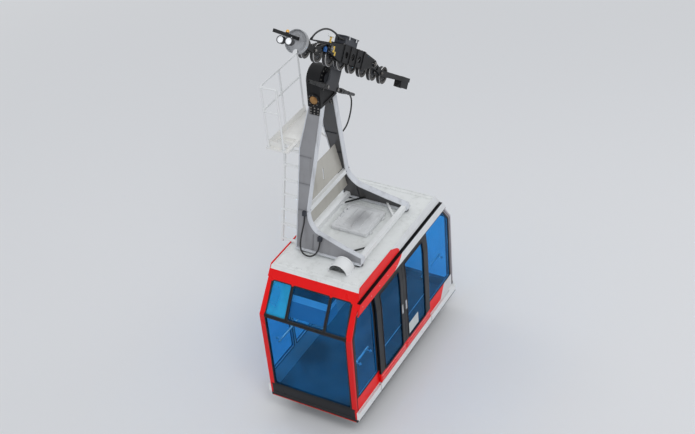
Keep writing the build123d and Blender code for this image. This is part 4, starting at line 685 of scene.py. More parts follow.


# Free cables and the hose: given points of each route, in metres.
cords = {
    "hose": {"diameter": 0.026, "length": 1.015, "points": (  # along the carriage, sideways, up
        (-0.327, -0.060, 0.425), (-0.400, -0.060, 0.425), (-0.500, -0.064, 0.440), (-0.620, -0.070, 0.466),
        (-0.745, -0.077, 0.482), (-0.870, -0.084, 0.482), (-0.990, -0.090, 0.465), (-1.095, -0.094, 0.430),
        (-1.185, -0.094, 0.385), (-1.250, -0.094, 0.335), (-1.283, -0.094, 0.293))},
    "roofCable": {"diameter": 0.024, "length": 1.036, "offLeg": -0.063,
                  "highOnLeg": ((0.450, 0.550), (0.450, 0.450)),
                  "points": ((-0.752, 0.458, -2.430), (-0.815, 0.465, -2.540), (-0.868, 0.462, -2.655),
                             (-0.900, 0.430, -2.755), (-0.908, 0.340, -2.795), (-0.890, 0.245, -2.785),
                             (-0.845, 0.185, -2.725)),
                  "lowOnLeg": ((0.170, 0.120), (0.170, 0.200))},
    "hangerCable": {"diameter": 0.024, "length": 1.601, "points": (
        (0.252, 0.380, -0.400), (0.252, 0.380, -0.485), (0.315, 0.384, -0.575), (0.430, 0.388, -0.655),
        (0.560, 0.392, -0.735), (0.700, 0.396, -0.825), (0.825, 0.400, -0.925), (0.895, 0.400, -1.050),
        (0.870, 0.400, -1.190), (0.800, 0.400, -1.310), (0.710, 0.400, -1.405), (0.590, 0.400, -1.451),
        (0.472, 0.400, -1.451))},
}


def cordAlong(name, points, spec, body, node):
    # one open NURBS spline through the route, as thick as the real cable
    piece = curveThrough(name, points, spec["diameter"] / 2, "NURBS", 4)
    piece.data.resolution_u, piece.data.use_fill_caps = 16, True
    piece.data.splines[0].order_u, piece.data.splines[0].use_endpoint_u = 3, True
    piece.data.materials.append(cableSheath)
    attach(piece, body)
    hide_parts(node)


def addCords():
    hose, nearCable, farCable = cords["hose"], cords["roofCable"], cords["hangerCable"]
    points = [carriageFrame @ Vector(point) for point in hose["points"]]
    cordAlong("carriageHose", points, hose, "carriage", "carriage_hose")
    high, low = ([nearLegFrame @ Vector((nearCable["offLeg"], y, up)) for y, up in nearCable[end]]
                 for end in ("highOnLeg", "lowOnLeg"))
    points = high + [Vector(point) for point in nearCable["points"]] + low
    cordAlong("roofCable", points, nearCable, "cabin", "roof_cable")
    points = [Vector(point) for point in farCable["points"]]
    cordAlong("hangerCable", points, farCable, "cabin", "hanger_cable")
    print("cables and hose")


wheel = {
    "pitch": 0.360, "up": 0.132, "flange": 0.135, "tread": 0.110, "half": 0.030, "boltRing": 0.066, "bolts": 6,
    "rim": 0.0905, "liner": (0.105, 0.1335, 0.022), "turnStep": 23,
}


def makeWheel():
    tread, flange, half = wheel["tread"], wheel["flange"], wheel["half"]
    side = [(0.0186, 0.028), (0.038, 0.028), (0.043, 0.025), (0.047, 0.015), (0.085, 0.012), (0.090, 0.016),
            (0.092, 0.026), (0.095, half), (flange - 0.004, half), (flange, half - 0.003), (flange, 0.0240)]
    groove = [(tread + 0.0120, 0.0175), (tread + 0.0040, 0.0115), (tread + 0.0004, 0.0050)]
    profile = side + groove + [(r, -z) for r, z in reversed(groove)] + [(r, -z) for r, z in reversed(side)]
    disc = lathe("wheel", profile + [profile[0]], 56)
    disc.data.materials.append(carriageGrey)
    inner, outer, deep = wheel["liner"]
    paintFaces(disc, wheelSteel, lambda n, c: c.xy.length > wheel["rim"])
    paintFaces(disc, brightSteel, lambda n, c: c.xy.length > flange - 0.0035)
    paintFaces(disc, linerRubber, lambda n, c: inner < c.xy.length < outer and abs(c.z) < deep)
    ring = []
    for face in (1, -1):
        for k in range(wheel["bolts"]):
            turn = Matrix.Rotation(2 * math.pi * k / wheel["bolts"], 4, "Z")
            ring.append(turn @ facing((wheel["boltRing"], 0, face * 0.0135), (0, 0, face)))
    heads = scattered("heads", boltHead(0.0065), ring)
    heads.data.materials.append(oiledSteel)
    return joined("wheel", [disc, heads])


def addWheels():
    first = makeWheel()
    upright = Matrix.Rotation(math.radians(-90), 4, "X")
    for n in range(8):
        place = carriageFrame @ Matrix.Translation(((n - 3.5) * wheel["pitch"], 0, wheel["up"]))
        turn = Matrix.Rotation(math.radians(wheel["turnStep"] * n), 4, "Y")
        one = copied(first, place @ turn @ upright, f"wheelTurned{n + 1}")
        settle(one, f"wheel_{n + 1}", None, "wheel_liner", f"wheel_{n + 1}", smooth=28)
    bpy.data.objects.remove(first)
    print("wheels")


# Places along the carriage, and up from the bottom of the wheels' grooves.
carriage = {
    "beamFace": 0.104, "beamPin": (0.720, 0.240), "rockerPin": (1.080, 0.150), "axle": (0.180, 0.132),
    "deckUp": 0.362, "deckY": 0.094, "plateFace": 0.128, "plateUps": (0.135, 0.315),
    "plateAlongs": (-0.12, -0.04, 0.04, 0.12),
    # low and high corners on the near rocker's cheek and the beam's face
    "valve": ((-0.866, -0.0980, 0.172), (-0.798, -0.0738, 0.236)),
    "marks": (((-0.652, 0.200), (-0.602, 0.286)), ((-0.592, 0.160), (-0.552, 0.216))),
}
controlBox = {"along": -0.115, "length": 0.380, "half": 0.090, "low": 0.362, "height": 0.105, "lid": 0.020,
              "glands": (-0.060, -0.010, 0.040), "glandUp": 0.425}


def axleNuts(name, alongs, up, out, size, body):
    # a nut and washer at both ends of each pin
    places = [carriageFrame @ facing((along, side * out, up), (0, side, 0)) for along in alongs for side in (1, -1)]
    addBolts(name, size, places, body, oiledSteel)


def addCarriageDetails():
    beamPin, pinUp = carriage["beamPin"]
    rockerPin, rockerUp = carriage["rockerPin"]
    axle, axleUp = carriage["axle"]
    for n in range(4):
        middle = (n - 1.5) * 2 * wheel["pitch"]
        axleNuts(f"bogieNuts{n + 1}", (middle - axle, middle + axle), axleUp, 0.0505, 0.0075, f"bogie_{n + 1}")
    axleNuts("rockerNutsNear", (-rockerPin,), rockerUp, 0.082, 0.016, "rocker_near")
    axleNuts("rockerNutsFar", (rockerPin,), rockerUp, 0.082, 0.016, "rocker_far")
    axleNuts("beamNuts", (-beamPin, beamPin), pinUp, 0.118, 0.024, "carriage")
    rings = [carriageFrame @ facing((along + u, side * carriage["beamFace"], pinUp + v), (0, side, 0))
             for along in (-beamPin, beamPin) for u, v in circle(6, 0.053) for side in (1, -1)]
    addBolts("pinRingBolts", 0.006, rings, "carriage", oiledSteel)
    clear = controlBox["length"] / 2 + 0.025  # the deck's bolts stop beside the control box
    rows = [carriageFrame @ facing((along, side * carriage["deckY"], carriage["deckUp"] - 0.0005), (0, 0, 1))
            for along in [-0.34 + 0.085 * k for k in range(9)] for side in (1, -1)
            if abs(along - controlBox["along"]) > clear]
    addBolts("deckBolts", 0.007, rows, "carriage", oiledSteel)
    plate = [carriageFrame @ facing((along, carriage["plateFace"], up), (0, 1, 0))
             for along in carriage["plateAlongs"] for up in carriage["plateUps"]]
    addBolts("yokeBolts", 0.011, plate, "carriage", oiledSteel)
    print("carriage details")


def addValveAndMarks():
    # blue valve block on the near rocker's cheek, yellow paint marks on the beam's
    low, high = (Vector(corner) for corner in carriage["valve"])
    x, z, top = (low.x + high.x) / 2, (low.z + high.z) / 2, high.z
    valve = [block("valve", low, high, 0.004, 3),
             rod("valveCap", (x, -0.0975, z), (x, -0.1050, z), 0.019, 24, 0.002),
             rod("valveUnion", (x, -0.086, top - 0.002), (x, -0.086, top + 0.014), 0.009, 6, 0.001)]
    settle(placed(joined("valveBlock", valve), carriageFrame), "rocker_near", valveBlue, "box_grey")
    face = -carriage["beamFace"]
    marks = [block("mark", (x0, face - 0.0024, z0), (x1, face + 0.0005, z1), 0.0008, 1)
             for (x0, z0), (x1, z1) in carriage["marks"]]
    settle(placed(joined("beamMarks", marks), carriageFrame), "carriage", markYellow, "beacon_yellow")
    print("valve block and marks")


def addControlBox():
    low, top = controlBox["low"], controlBox["low"] + controlBox["height"]
    x0, x1 = controlBox["along"] - controlBox["length"] / 2, controlBox["along"] + controlBox["length"] / 2
    half, lidTop = controlBox["half"], top + controlBox["lid"]
    shell = block("controlShell", (x0, -half, low), (x1, half, top), 0)
    soften(pressed(shell, lambda n, c: abs(n.y) > 0.9, (0.018, -0.004)), 0.007, 3, 40)
    lid = block("controlLid", (x0 - 0.008, -half - 0.008, top), (x1 + 0.008, half + 0.008, lidTop), 0)
    soften(pressed(lid, lambda n, c: n.z > 0.9, (0.030, 0.0), (0.012, 0.004)), 0.005, 3, 40)
    ribs = [block("rib", (x, -half + 0.022, top + 0.016), (x + 0.012, half - 0.022, top + 0.0235), 0.002)
            for x in (x0 + 0.08, x0 + 0.15, x0 + 0.22, x0 + 0.29)]
    box = joined("controlBoxShell", [shell, lid] + ribs)
    settle(placed(box, carriageFrame), "carriage", boxPaint, "box_grey", "control_box")
    latches = []
    for x in (x0 + 0.08, x0 + 0.30):
        for side in (1, -1):
            y, pin = side * (half + 0.012), side * (half + 0.014)
            latches.append(block("latch", (x - 0.014, y - 0.004, top - 0.030), (x + 0.014, y + 0.004, top + 0.014),
                                 0.002))
            latches.append(rod("latchPin", (x - 0.018, pin, top - 0.020), (x + 0.018, pin, top - 0.020), 0.004, 12))
    settle(placed(joined("boxLatches", latches), carriageFrame), "carriage", zinc, "zinc")
    up = controlBox["glandUp"]
    glands = [rod("gland", (x0 + 0.002, y, up), (x0 - 0.021, y, up), 0.0175, 6, 0.002)
              for y in controlBox["glands"]]
    settle(placed(joined("boxGlands", glands), carriageFrame), "carriage", gasket, "box_grey")
    print("control box")


aerial = {"along": -0.760, "side": -0.094, "foot": 0.310, "top": 0.395, "half": 0.058, "halfWidth": 0.028}


def addAerial():
    # a flat white unit on a yellow mast, with a foot round the mast on the arm
    along, y, foot, top = aerial["along"], aerial["side"], aerial["foot"], aerial["top"]
    half, wide = aerial["half"], aerial["halfWidth"]
    unit = block("aerialUnit", (along - half, y - wide, top - 0.002), (along + half, y + wide, top + 0.031), 0)
    soften(pressed(unit, lambda n, c: n.z > 0.9, (0.010, 0.003)), 0.008, 3, 40)
    settle(placed(unit, carriageFrame), "carriage", whitePaint, "frame_white")
    mast = [rod("mast", (along, y, foot + 0.002), (along, y, top - 0.001), 0.0132, 24, 0.001),
            rod("mastCollar", (along, y, top - 0.016), (along, y, top - 0.002), 0.019, 24, 0.003),
            rod("mastFoot", (along, y, foot), (along, y, foot + 0.020), 0.021, 6, 0.002)]
    settle(placed(joined("aerialMast", mast), carriageFrame), "carriage", markYellow, "beacon_yellow")
    print("aerial")


lamps = {"along": -1.830, "up": 0.150, "y": 0.064, "radius": 0.054, "length": 0.120, "armX": -1.770,
         "armUp": 0.196, "fins": (0.044, 0.054, 0.064), "beacon": (-1.790, 0, 0.250)}


def addLamps():
    # two round lamps with cooling fins, their lenses uphill, on arms, and a beacon on its foot
    r, depth = lamps["radius"], lamps["length"]
    shell = [(0.0, 0.0), (r * 0.55, 0.001), (r * 0.74, 0.012), (r * 0.86, 0.034), (r * 0.90, depth - 0.030),
             (r * 0.93, depth - 0.026), (r, depth - 0.024), (r, depth - 0.003), (r * 0.97, depth),
             (r * 0.88, depth), (r * 0.86, depth - 0.006), (r * 0.60, depth - 0.018), (0.0, depth - 0.022)]
    lens = [(0.0, depth - 0.002), (r * 0.35, depth - 0.0025), (r * 0.65, depth - 0.0045),
            (r * 0.855, depth - 0.009), (r * 0.855, depth - 0.012), (0.0, depth - 0.010)]
    shells, lenses, hoops, arms = [], [], [], []
    for side in (1, -1):
        place = carriageFrame @ facing((lamps["along"] + depth, side * lamps["y"], lamps["up"]), (-1, 0, 0))
        shells.append(placed(lathe("lampShell", shell, 40), place))
        lenses.append(placed(lathe("lampLens", lens, 40), place))
        fins = [lathe("fin", [(r * 0.80, z), (r * 0.965, z), (r * 0.965, z + 0.004), (r * 0.80, z + 0.004)], 36)
                for z in lamps["fins"]]
        hoops.append(placed(joined("fins", fins), place))
    settle(joined("lampShells", shells + hoops), "rocker_near", carriageGrey, "carriage_paint", "lamps")
    settle(joined("lampLenses", lenses), "rocker_near", lampLens, "glass")
    x, up = lamps["armX"], lamps["armUp"]
    for side in (1, -1):
        y = side * lamps["y"]
        arms.append(block("lampArm", (x - 0.014, min(0, y), up), (x + 0.014, max(0, y), up + 0.010), 0.002))
        arms.append(rod("lampBolt", (x, y, up - 0.006), (x, y, up + 0.017), 0.009, 6, 0.001))
    settle(placed(joined("lampArms", arms), carriageFrame), "rocker_near", zinc, "zinc")
    dome = [(0.0, 0.047), (0.009, 0.0465), (0.016, 0.043), (0.0205, 0.036), (0.0220, 0.026), (0.0222, 0.010),
            (0.0, 0.010)]
    foot = [(0.0, 0.0115), (0.0235, 0.0115), (0.0240, 0.009), (0.0240, 0.002), (0.0225, 0.0), (0.0, 0.0)]
    spot = carriageFrame @ Matrix.Translation(lamps["beacon"])
    settle(placed(lathe("beaconFoot", foot, 32), spot), "rocker_near", gasket, "carriage_paint")
    settle(placed(lathe("beaconDome", dome, 32), spot), "rocker_near", beaconYellow, "beacon_yellow", "beacon")
    print("lamps and beacon")


# Each roll: radius, tube radius, depth behind the rim, and half of the gap at the bottom in degrees.
shield = {"along": -1.520, "up": 0.185, "rolls": ((0.1625, 0.0055, 0.0, 20), (0.100, 0.004, -0.050, 32)),
          "spokes": (90, 18, 162), "spokeEnds": (0.030, 0.155), "spokeOut": 0.050}


def addEndShield():
    # rolled rim, pressed ring and spokes on the disc, open at the bottom
    along, up = shield["along"], shield["up"]
    front = facing((along, 0, up), (-1, 0, 0))
    rolled = []
    for radius, tube, z, gap in shield["rolls"]:
        turns = [math.radians(gap - 90) + math.radians(360 - 2 * gap) * k / 64 for k in range(65)]
        points = [front @ Vector((0, 0, z)) + Vector((0, radius * math.cos(turn), radius * math.sin(turn)))
                  for turn in turns]
        rolled.append(tubeAlong("roll", points, tube))
    for angle in shield["spokes"]:
        start, end = ((along + shield["spokeOut"], r * math.cos(math.radians(angle)),
                       up + r * math.sin(math.radians(angle))) for r in shield["spokeEnds"])
        rolled.append(rod("spoke", start, end, 0.006, 12))
    settle(placed(joined("shieldRolls", rolled), carriageFrame), "rocker_near", shieldPaint, "carriage_paint")
    print("end shield")


socket = {"pin": 0.160, "up": -0.262, "start": 0.250, "side": 0.116, "cheeks": (0.1015, 0.1305),
          "cheekHalf": 0.0068}


def addSockets():
    # tapered sockets with two cheeks round a headed pin that a split pin holds
    profile = [(0.0, 0.0), (0.034, 0.0), (0.040, 0.006), (0.040, 0.052), (0.036, 0.058), (0.037, 0.064),
               (0.040, 0.070), (0.0395, 0.082), (0.0245, 0.262), (0.0285, 0.268), (0.0290, 0.284),
               (0.0245, 0.292), (0.0240, 0.455), (0.0225, 0.470), (0.0115, 0.470), (0.0115, 0.300), (0.0, 0.300)]
    up, thick = socket["up"], socket["cheekHalf"]
    for name, side in (("Near", -1), ("Far", 1)):
        x = side * socket["pin"]
        parts = [placed(lathe("socket", profile, 40),
                        facing((side * socket["start"], socket["side"], up), (side, 0, 0)))]
        for y in socket["cheeks"]:
            parts.append(block("ear", (x, y - thick, up - 0.034), (x + side * 0.096, y + thick, up + 0.034), 0.003))
            parts.append(rod("earRound", (x, y - thick, up), (x, y + thick, up), 0.034, 40, 0.003))
        stands = ("haul_sockets", "haul_sleeves") if side > 0 else ()
        settle(placed(joined(f"haulSocket{name}", parts), carriageFrame), "carriage", oiledBlack, "carriage_paint",
               *stands)
        pin = [rod("pin", (x, 0.082, up), (x, 0.150, up), 0.0150, 24, 0.002),
               rod("pinHead", (x, 0.086, up), (x, 0.0940, up), 0.023, 24, 0.002),
               rod("splitPin", (x - 0.022, 0.144, up), (x + 0.022, 0.144, up), 0.003, 10)]
        settle(placed(joined(f"haulPin{name}", pin), carriageFrame), "carriage", oiledSteel, "zinc")
    print("sockets and pins")


hanger = {
    "axleZ": -0.180, "capFace": 0.492, "faces": (0.235, 0.455), "capRing": 0.078, "headRing": 0.165,
    "hub": (-0.2235, 0.345, -0.437), "hubLean": math.atan2(0.020, 0.380), "hubRing": 0.083,
    "spliceTop": 2.22, "spliceYs": (0.285, 0.345, 0.405), "spliceDrops": (0.110, 0.070, 0.028),
    # ribs on the leg's webs: height along the leg, and both ends across it
    "ribs": ((0.62, 0.400, 0.574), (1.05, 0.392, 0.574), (1.48, 0.378, 0.574)), "webOut": 0.044,
}


def addHead():
    # cap on the axle's end, hub with its rim and cap on the near face, rings of bolts and a collar
    z = hanger["axleZ"]
    inner, outer = hanger["faces"]
    cap = lathe("axleCap", [(0.0, 0.020), (0.030, 0.019), (0.052, 0.014), (0.066, 0.006), (0.070, 0.0),
                            (0.0, 0.0)], 40)
    settle(placed(cap, facing((0, hanger["capFace"], z), (0, 1, 0))), "carriage", bronze, "carriage_paint")
    ring = [facing((u, hanger["capFace"] - 0.001, z + v), (0, 1, 0)) for u, v in circle(8, hanger["capRing"])]
    addBolts("axleCapBolts", 0.007, ring, "carriage", oiledSteel)
    hub = facing(hanger["hub"], (-math.cos(hanger["hubLean"]), 0, math.sin(hanger["hubLean"])))
    rim = lathe("hubRim", [(0.0, 0.012), (0.070, 0.012), (0.074, 0.022), (0.092, 0.022), (0.098, 0.014),
                           (0.098, 0.0), (0.0, 0.0)], 48)
    settle(placed(rim, hub), "cabin", carriageBlack, "carriage_paint")
    dome = lathe("hubCap", [(0.0, 0.036), (0.026, 0.034), (0.046, 0.028), (0.060, 0.019), (0.068, 0.010),
                            (0.0, 0.010)], 48)
    settle(placed(dome, hub), "cabin", bronze, "carriage_paint")
    hubBolts = [hub @ Matrix.Rotation(k * math.pi / 4, 4, "Z") @ Matrix.Translation((hanger["hubRing"], 0, 0.0215))
                for k in range(8)]
    addBolts("hubBolts", 0.006, hubBolts, "cabin", oiledSteel)
    ring = [facing((u, y, z + v), (0, way, 0)) for u, v in circle(16, hanger["headRing"])
            for y, way in ((outer, 1), (inner, -1)) if v > -0.75 * hanger["headRing"]]
    addBolts("headBolts", 0.010, ring, "cabin", oiledSteel)
    collar = lathe("headCollar", [(0.098, 0.0), (0.130, 0.0), (0.130, 0.010), (0.124, 0.014), (0.098, 0.014),
                                  (0.098, 0.0)], 48)
    settle(placed(collar, facing((0, outer, z), (0, 1, 0))), "cabin", carriageGrey, "carriage_paint")
    print("head")


def addLegDetails():
    # splice plates with their bolts under the head, ribs on the webs, bolts in the feet
    top, out = hanger["spliceTop"] / math.cos(legLean), hanger["webOut"]
    # the far leg's ribs take the darker grey, as painted shade like that on its web
    for name, matrix, finish in (("Near", nearLegFrame, ribPaint), ("Far", farLegFrame, carriageGrey)):
        splice = [block("splice", (side * 0.050 - 0.005, 0.262, top - 0.130),
                        (side * 0.050 + 0.005, 0.428, top - 0.006), 0.003) for side in (1, -1)]
        settle(placed(joined(f"splicePlates{name}", splice), matrix), "cabin", carriageBlack, "carriage_paint")
        spots = [matrix @ facing((side * 0.055, y, top - drop), (side, 0, 0))
                 for y in hanger["spliceYs"] for drop in hanger["spliceDrops"] for side in (1, -1)]
        addBolts(f"spliceBolts{name}", 0.009, spots, "cabin", oiledSteel)
        ribs = []
        for side in (1, -1):
            x0, x1 = side * out - 0.006, side * out + 0.006
            for z, y0, y1 in hanger["ribs"]:
                ribs.append(block("rib", (x0, y0, z - 0.005), (x1, y1, z + 0.005), 0.002))
            ribs.append(block("kneeRib", (x0, 0.295, 0.015), (x1, 0.305, 0.275), 0.002))
        settle(placed(joined(f"legRibs{name}", ribs), matrix), "cabin", finish, "hanger_paint")
    feet = [facing((x + dx, y + dy, car["foot"] + 0.014), (0, 0, 1))
            for x in (-car["footX"], car["footX"]) for y in (-car["footY"], car["footY"])
            for dx in (-0.056, 0.056) for dy in (-0.045, 0.045)]
    addBolts("footBolts", 0.010, feet, "cabin", zinc)
    print("legs")


def addRoofMounts():
    # bulged rubber between two steel plates
    profile = [(0.0, 0.0495), (0.062, 0.0495), (0.062, 0.043), (0.050, 0.042), (0.054, 0.036), (0.057, 0.0305),
               (0.0535, 0.0275), (0.0535, 0.0235), (0.057, 0.0205), (0.054, 0.0145), (0.050, 0.0085),
               (0.064, 0.0075), (0.064, 0.0), (0.0, 0.0)]
    first = lathe("roofMount", profile, 40)
    first.data.materials.append(mountRubber)
    paintFaces(first, zinc, lambda n, c: c.z > 0.0425 or c.z < 0.0080)
    places = [Matrix.Translation((x, y, car["roof"])) for x in (-car["footX"], car["footX"])
              for y in (-car["footY"], car["footY"])]
    settle(scattered("roofMountsLayered", first, places), "cabin", None, "mount_rubber", "roof_mounts")
    print("roof mounts")


panels = {
    "screwHeights": (2.62, 2.72, 2.86, 3.03, 3.13, 3.23, 3.33, 3.43, 3.49), "fromLeg": 0.082,
    "faces": ((0.4800, -1), (0.4880, 1)), "middleY": 0.484, "slotAt": 3.230, "slotHalf": 0.093, "slotRadius": 0.022,
}


def addWebPanelDetails():
    # screws along both edges of the web panels, and a rim in the upper one's slot
    spots = []
    for h in panels["screwHeights"]:
        edge = car["footX"] - (h - 2.35) * math.tan(legLean) - panels["fromLeg"]
        spots += [facing((x, y, height(h)), (0, way, 0)) for x in (-edge, edge) for y, way in panels["faces"]]
    addBolts("panelScrews", 0.006, spots, "cabin", zinc)
    slot = []
    for u, v in circle(40, panels["slotRadius"]):
        ends = 0 if abs(v) < 0.0004 else math.copysign(panels["slotHalf"], v)
        slot.append((u, panels["middleY"], height(panels["slotAt"] + ends + v)))
    settle(tubeAlong("slotRim", slot, 0.006, closed=True), "cabin", zinc, "zinc")
    print("web panels")


railing = {"radius": 0.0165, "near": -0.630, "far": 0.430, "outer": 0.980, "inner": 0.700,
           "rails": (1.015, 0.615), "bend": 0.075, "middlePost": -0.100}


def addRailing():
    # two bent rails on four posts with feet and collars, with a ball at each joint and open end
    r, deck, bend = railing["radius"], car["deck"], railing["bend"]
    x0, x1, yo, yi = railing["near"], railing["far"], railing["outer"], railing["inner"]
    top = deck + railing["rails"][0]
    tubes = []
    for rise in railing["rails"]:
        z = deck + rise
        path = [(x0, yi, z), (x0, yo - bend, z)]
        for k in range(1, 9):
            a = math.radians(10 * k)
            path.append((x0 + bend - bend * math.cos(a), yo - bend + bend * math.sin(a), z))
        path += [(x0 + bend, yo, z), (x1, yo, z)]
        tubes.append(tubeAlong("rail", path, r))
    posts = ((x0, yi), (x0, yo - 0.020), (railing["middlePost"], yo), (x1, yo))
    for x, y in posts:
        tubes.append(rod("post", (x, y, deck), (x, y, top), r, 20))
        tubes.append(rod("postFoot", (x, y, deck), (x, y, deck + 0.010), r * 2.1, 24, 0.003))
        tubes.append(rod("postCollar", (x, y, deck + 0.008), (x, y, deck + 0.040), r * 1.25, 20, 0.002))
        for rise, drop in zip(railing["rails"], (0.004, 0)):
            tubes.append(ball((x, y, deck + rise - drop), r * 1.28, 20, 12))
    for x, y in ((x0, yi), (x1, yo)):
        for rise in railing["rails"]:
            tubes.append(ball((x, y, deck + rise), r, 16, 10))
    settle(joined("railingTubes", tubes), "cabin", whitePaint, "frame_white", "railing")
    heads = [facing((x + dx, y + dy, deck + 0.009), (0, 0, 1)) for x, y in posts
             for dx, dy in ((0.024, 0), (-0.024, 0), (0, 0.024), (0, -0.024)) if y + dy <= yo + 0.012]
    addBolts("railingBolts", 0.005, heads, "cabin", zinc)
    print("railing")


platform = {"plate": ((-0.306, 0.622), (0.442, 0.948)), "firstStud": (-0.282, 0.646), "studStep": 0.036,
            "studs": (20, 9), "opening": ((-0.598, 0.678), (-0.312, 0.942)), "rim": 0.008}


def addPlatformDetails():
    # chequer plate on the deck, and a rim round the ladder's opening
    deck, step, wide = car["deck"], platform["studStep"], platform["rim"]
    (x0, y0), (x1, y1) = platform["plate"]
    across, along = platform["firstStud"]
    parts = [block("deckPlate", (x0, y0, deck - 0.001), (x1, y1, deck + 0.0035), 0.001, 1)]
    stud = block("stud", (-0.011, -0.0028, 0.0), (0.011, 0.0028, 0.0052), 0.0018, 1)
    countX, countY = platform["studs"]
    places = [Matrix.Translation((across + step * k, along + step * n, deck)) @
              Matrix.Rotation(math.radians(45 if (k + n) % 2 else -45), 4, "Z")
              for k in range(countX) for n in range(countY)]
    parts.append(scattered("studs", stud, places))
    (x0, y0), (x1, y1) = platform["opening"]
    for low, high in (((x0, y0), (x0 + wide, y1)), ((x1 - wide, y0), (x1, y1)),
                      ((x0, y0 - 0.002), (x1, y0 - 0.002 + wide))):
        parts.append(block("rim", (*low, deck - 0.001), (*high, deck + 0.010), 0.002))
    settle(joined("platformTread", parts), "cabin", deckPaint, "frame_white")
    print("platform")


# Each collar on a rung: where it starts across the leg, its width and radius.
ladder = {"rungs": 7, "first": 0.060, "step": 0.242, "grips": 10, "gripStart": 0.622, "gripStep": 0.024,
          "collars": ((0.590, 0.010, 0.026), (0.847, 0.012, 0.021), (0.873, 0.008, 0.020)), "stileY": 0.860}


def addLadderDetails():
    # collars where the rungs meet the stile and the leg, and treads with grips on the rungs
    made = []
    for k in range(ladder["rungs"]):
        z = ladder["first"] + ladder["step"] * k
        made += [rod("collar", (0, y, z), (0, y + wide, z), r, 20, 0.002) for y, wide, r in ladder["collars"]]
        made.append(block("tread", (-0.021, 0.604, z - 0.0165), (0.021, 0.856, z + 0.0165), 0.004))
        for n in range(ladder["grips"]):
            y = ladder["gripStart"] + ladder["gripStep"] * n
            made += [block("grip", (x - 0.0015, y, z - 0.012), (x + 0.0015, y + 0.007, z + 0.012), 0.001, 1)
                     for x in (0.021, -0.021)]
    settle(placed(joined("ladderCollars", made), nearLegFrame), "cabin", whitePaint, "frame_white")
    stile = ladder["stileY"]
    cap = rod("ladderCaps", (0, stile, 0.018), (0, stile, 0.026), 0.021, 4, 0.002)
    settle(placed(cap, nearLegFrame), "cabin", gasket, "zinc")
    print("ladder")


roof = {"seams": (-1.180, -0.560, 0.640, 1.180), "seamHalf": 0.012, "endX": 1.252, "rivets": 17,
        "rivetStep": 0.09, "mount": (0.83, 0.50, 0.06)}


def addRoofDetails():
    # seam strips with rivets, gutters along the sides and trims across the ends
    z, end = car["roof"], roof["endX"]
    half = sideY(cabin["top"]) - 0.004
    strips = [block("seam", (x - roof["seamHalf"], -half, z - 0.001), (x + roof["seamHalf"], half, z + 0.006), 0.002)
              for x in roof["seams"]]
    for side in (1, -1):
        x, y = side * (end - 0.005), side * (half - 0.012)
        strips.append(block("gutter", (-end, y - 0.008, z - 0.001), (end, y + 0.008, z + 0.012), 0.003))
        strips.append(block("endTrim", (x - 0.008, -half, z - 0.001), (x + 0.008, half, z + 0.009), 0.003))
    settle(joined("roofSeams", strips), "cabin", roofPaint, "roof_white")
    mountX, mountY, clear = roof["mount"]  # no rivets where the base beams stand
    rows = [(x, -0.72 + roof["rivetStep"] * n) for x in roof["seams"] for n in range(roof["rivets"])]
    rivets = [Matrix.Translation((x, y, z + 0.0055)) for x, y in rows
              if not (abs(x) < mountX and abs(abs(y) - mountY) < clear)]
    head = lathe("rivet", [(0.0, 0.003), (0.003, 0.0026), (0.0050, 0.001), (0.0055, 0.0)], 10)
    settle(scattered("roofRivets", head, rivets), "cabin", zinc, "zinc")
    print("roof")


hatch = {"x": 0.200, "y": 0.050, "halfLength": 0.324, "halfWidth": 0.314, "top": -2.770, "border": 0.050,
         "ribs": (-0.13, 0.0, 0.13), "lockX": 0.350}


def addHatchDetails():
    # pressed field with three ribs, a grip and a round lock
    x, y, top, border = hatch["x"], hatch["y"], hatch["top"], hatch["border"]
    lx, ly = hatch["halfLength"] - border, hatch["halfWidth"] - border
    plate = block("hatchField", (x - lx, y - ly, top - 0.001), (x + lx, y + ly, top + 0.005), 0)
    soften(pressed(plate, lambda n, c: n.z > 0.9, (0.020, 0.0), (0.010, -0.004)), 0.002, 2, 30)
    ribs = [block("hatchRib", (x - 0.22, y + dy - 0.012, top - 0.001), (x + 0.22, y + dy + 0.012, top + 0.0075),
                  0.003) for dy in hatch["ribs"]]
    settle(joined("hatchPressing", [plate] + ribs), "hatch", hatchPaint, "hatch_grey")
    gripY, lockY = y + ly + 0.022, y + ly + 0.020
    half = [(0.055, 0.0), (0.055, 0.022), (0.043, 0.032)]
    path = [(x - out, gripY, top + up) for out, up in half] + [(x + out, gripY, top + up) for out, up in half[::-1]]
    lock = rod("hatchLock", (hatch["lockX"], lockY, top - 0.001), (hatch["lockX"], lockY, top + 0.010), 0.016, 24,
               0.003)
    settle(joined("hatchGrip", [tubeAlong("grip", path, 0.006), lock]), "hatch", zinc, "zinc")
    print("hatch")


vent = {"x": -1.065, "y": -0.280, "radius": 0.165, "length": 0.230, "blades": 5, "bladeStep": 0.026,
        "bladeLean": math.radians(38)}


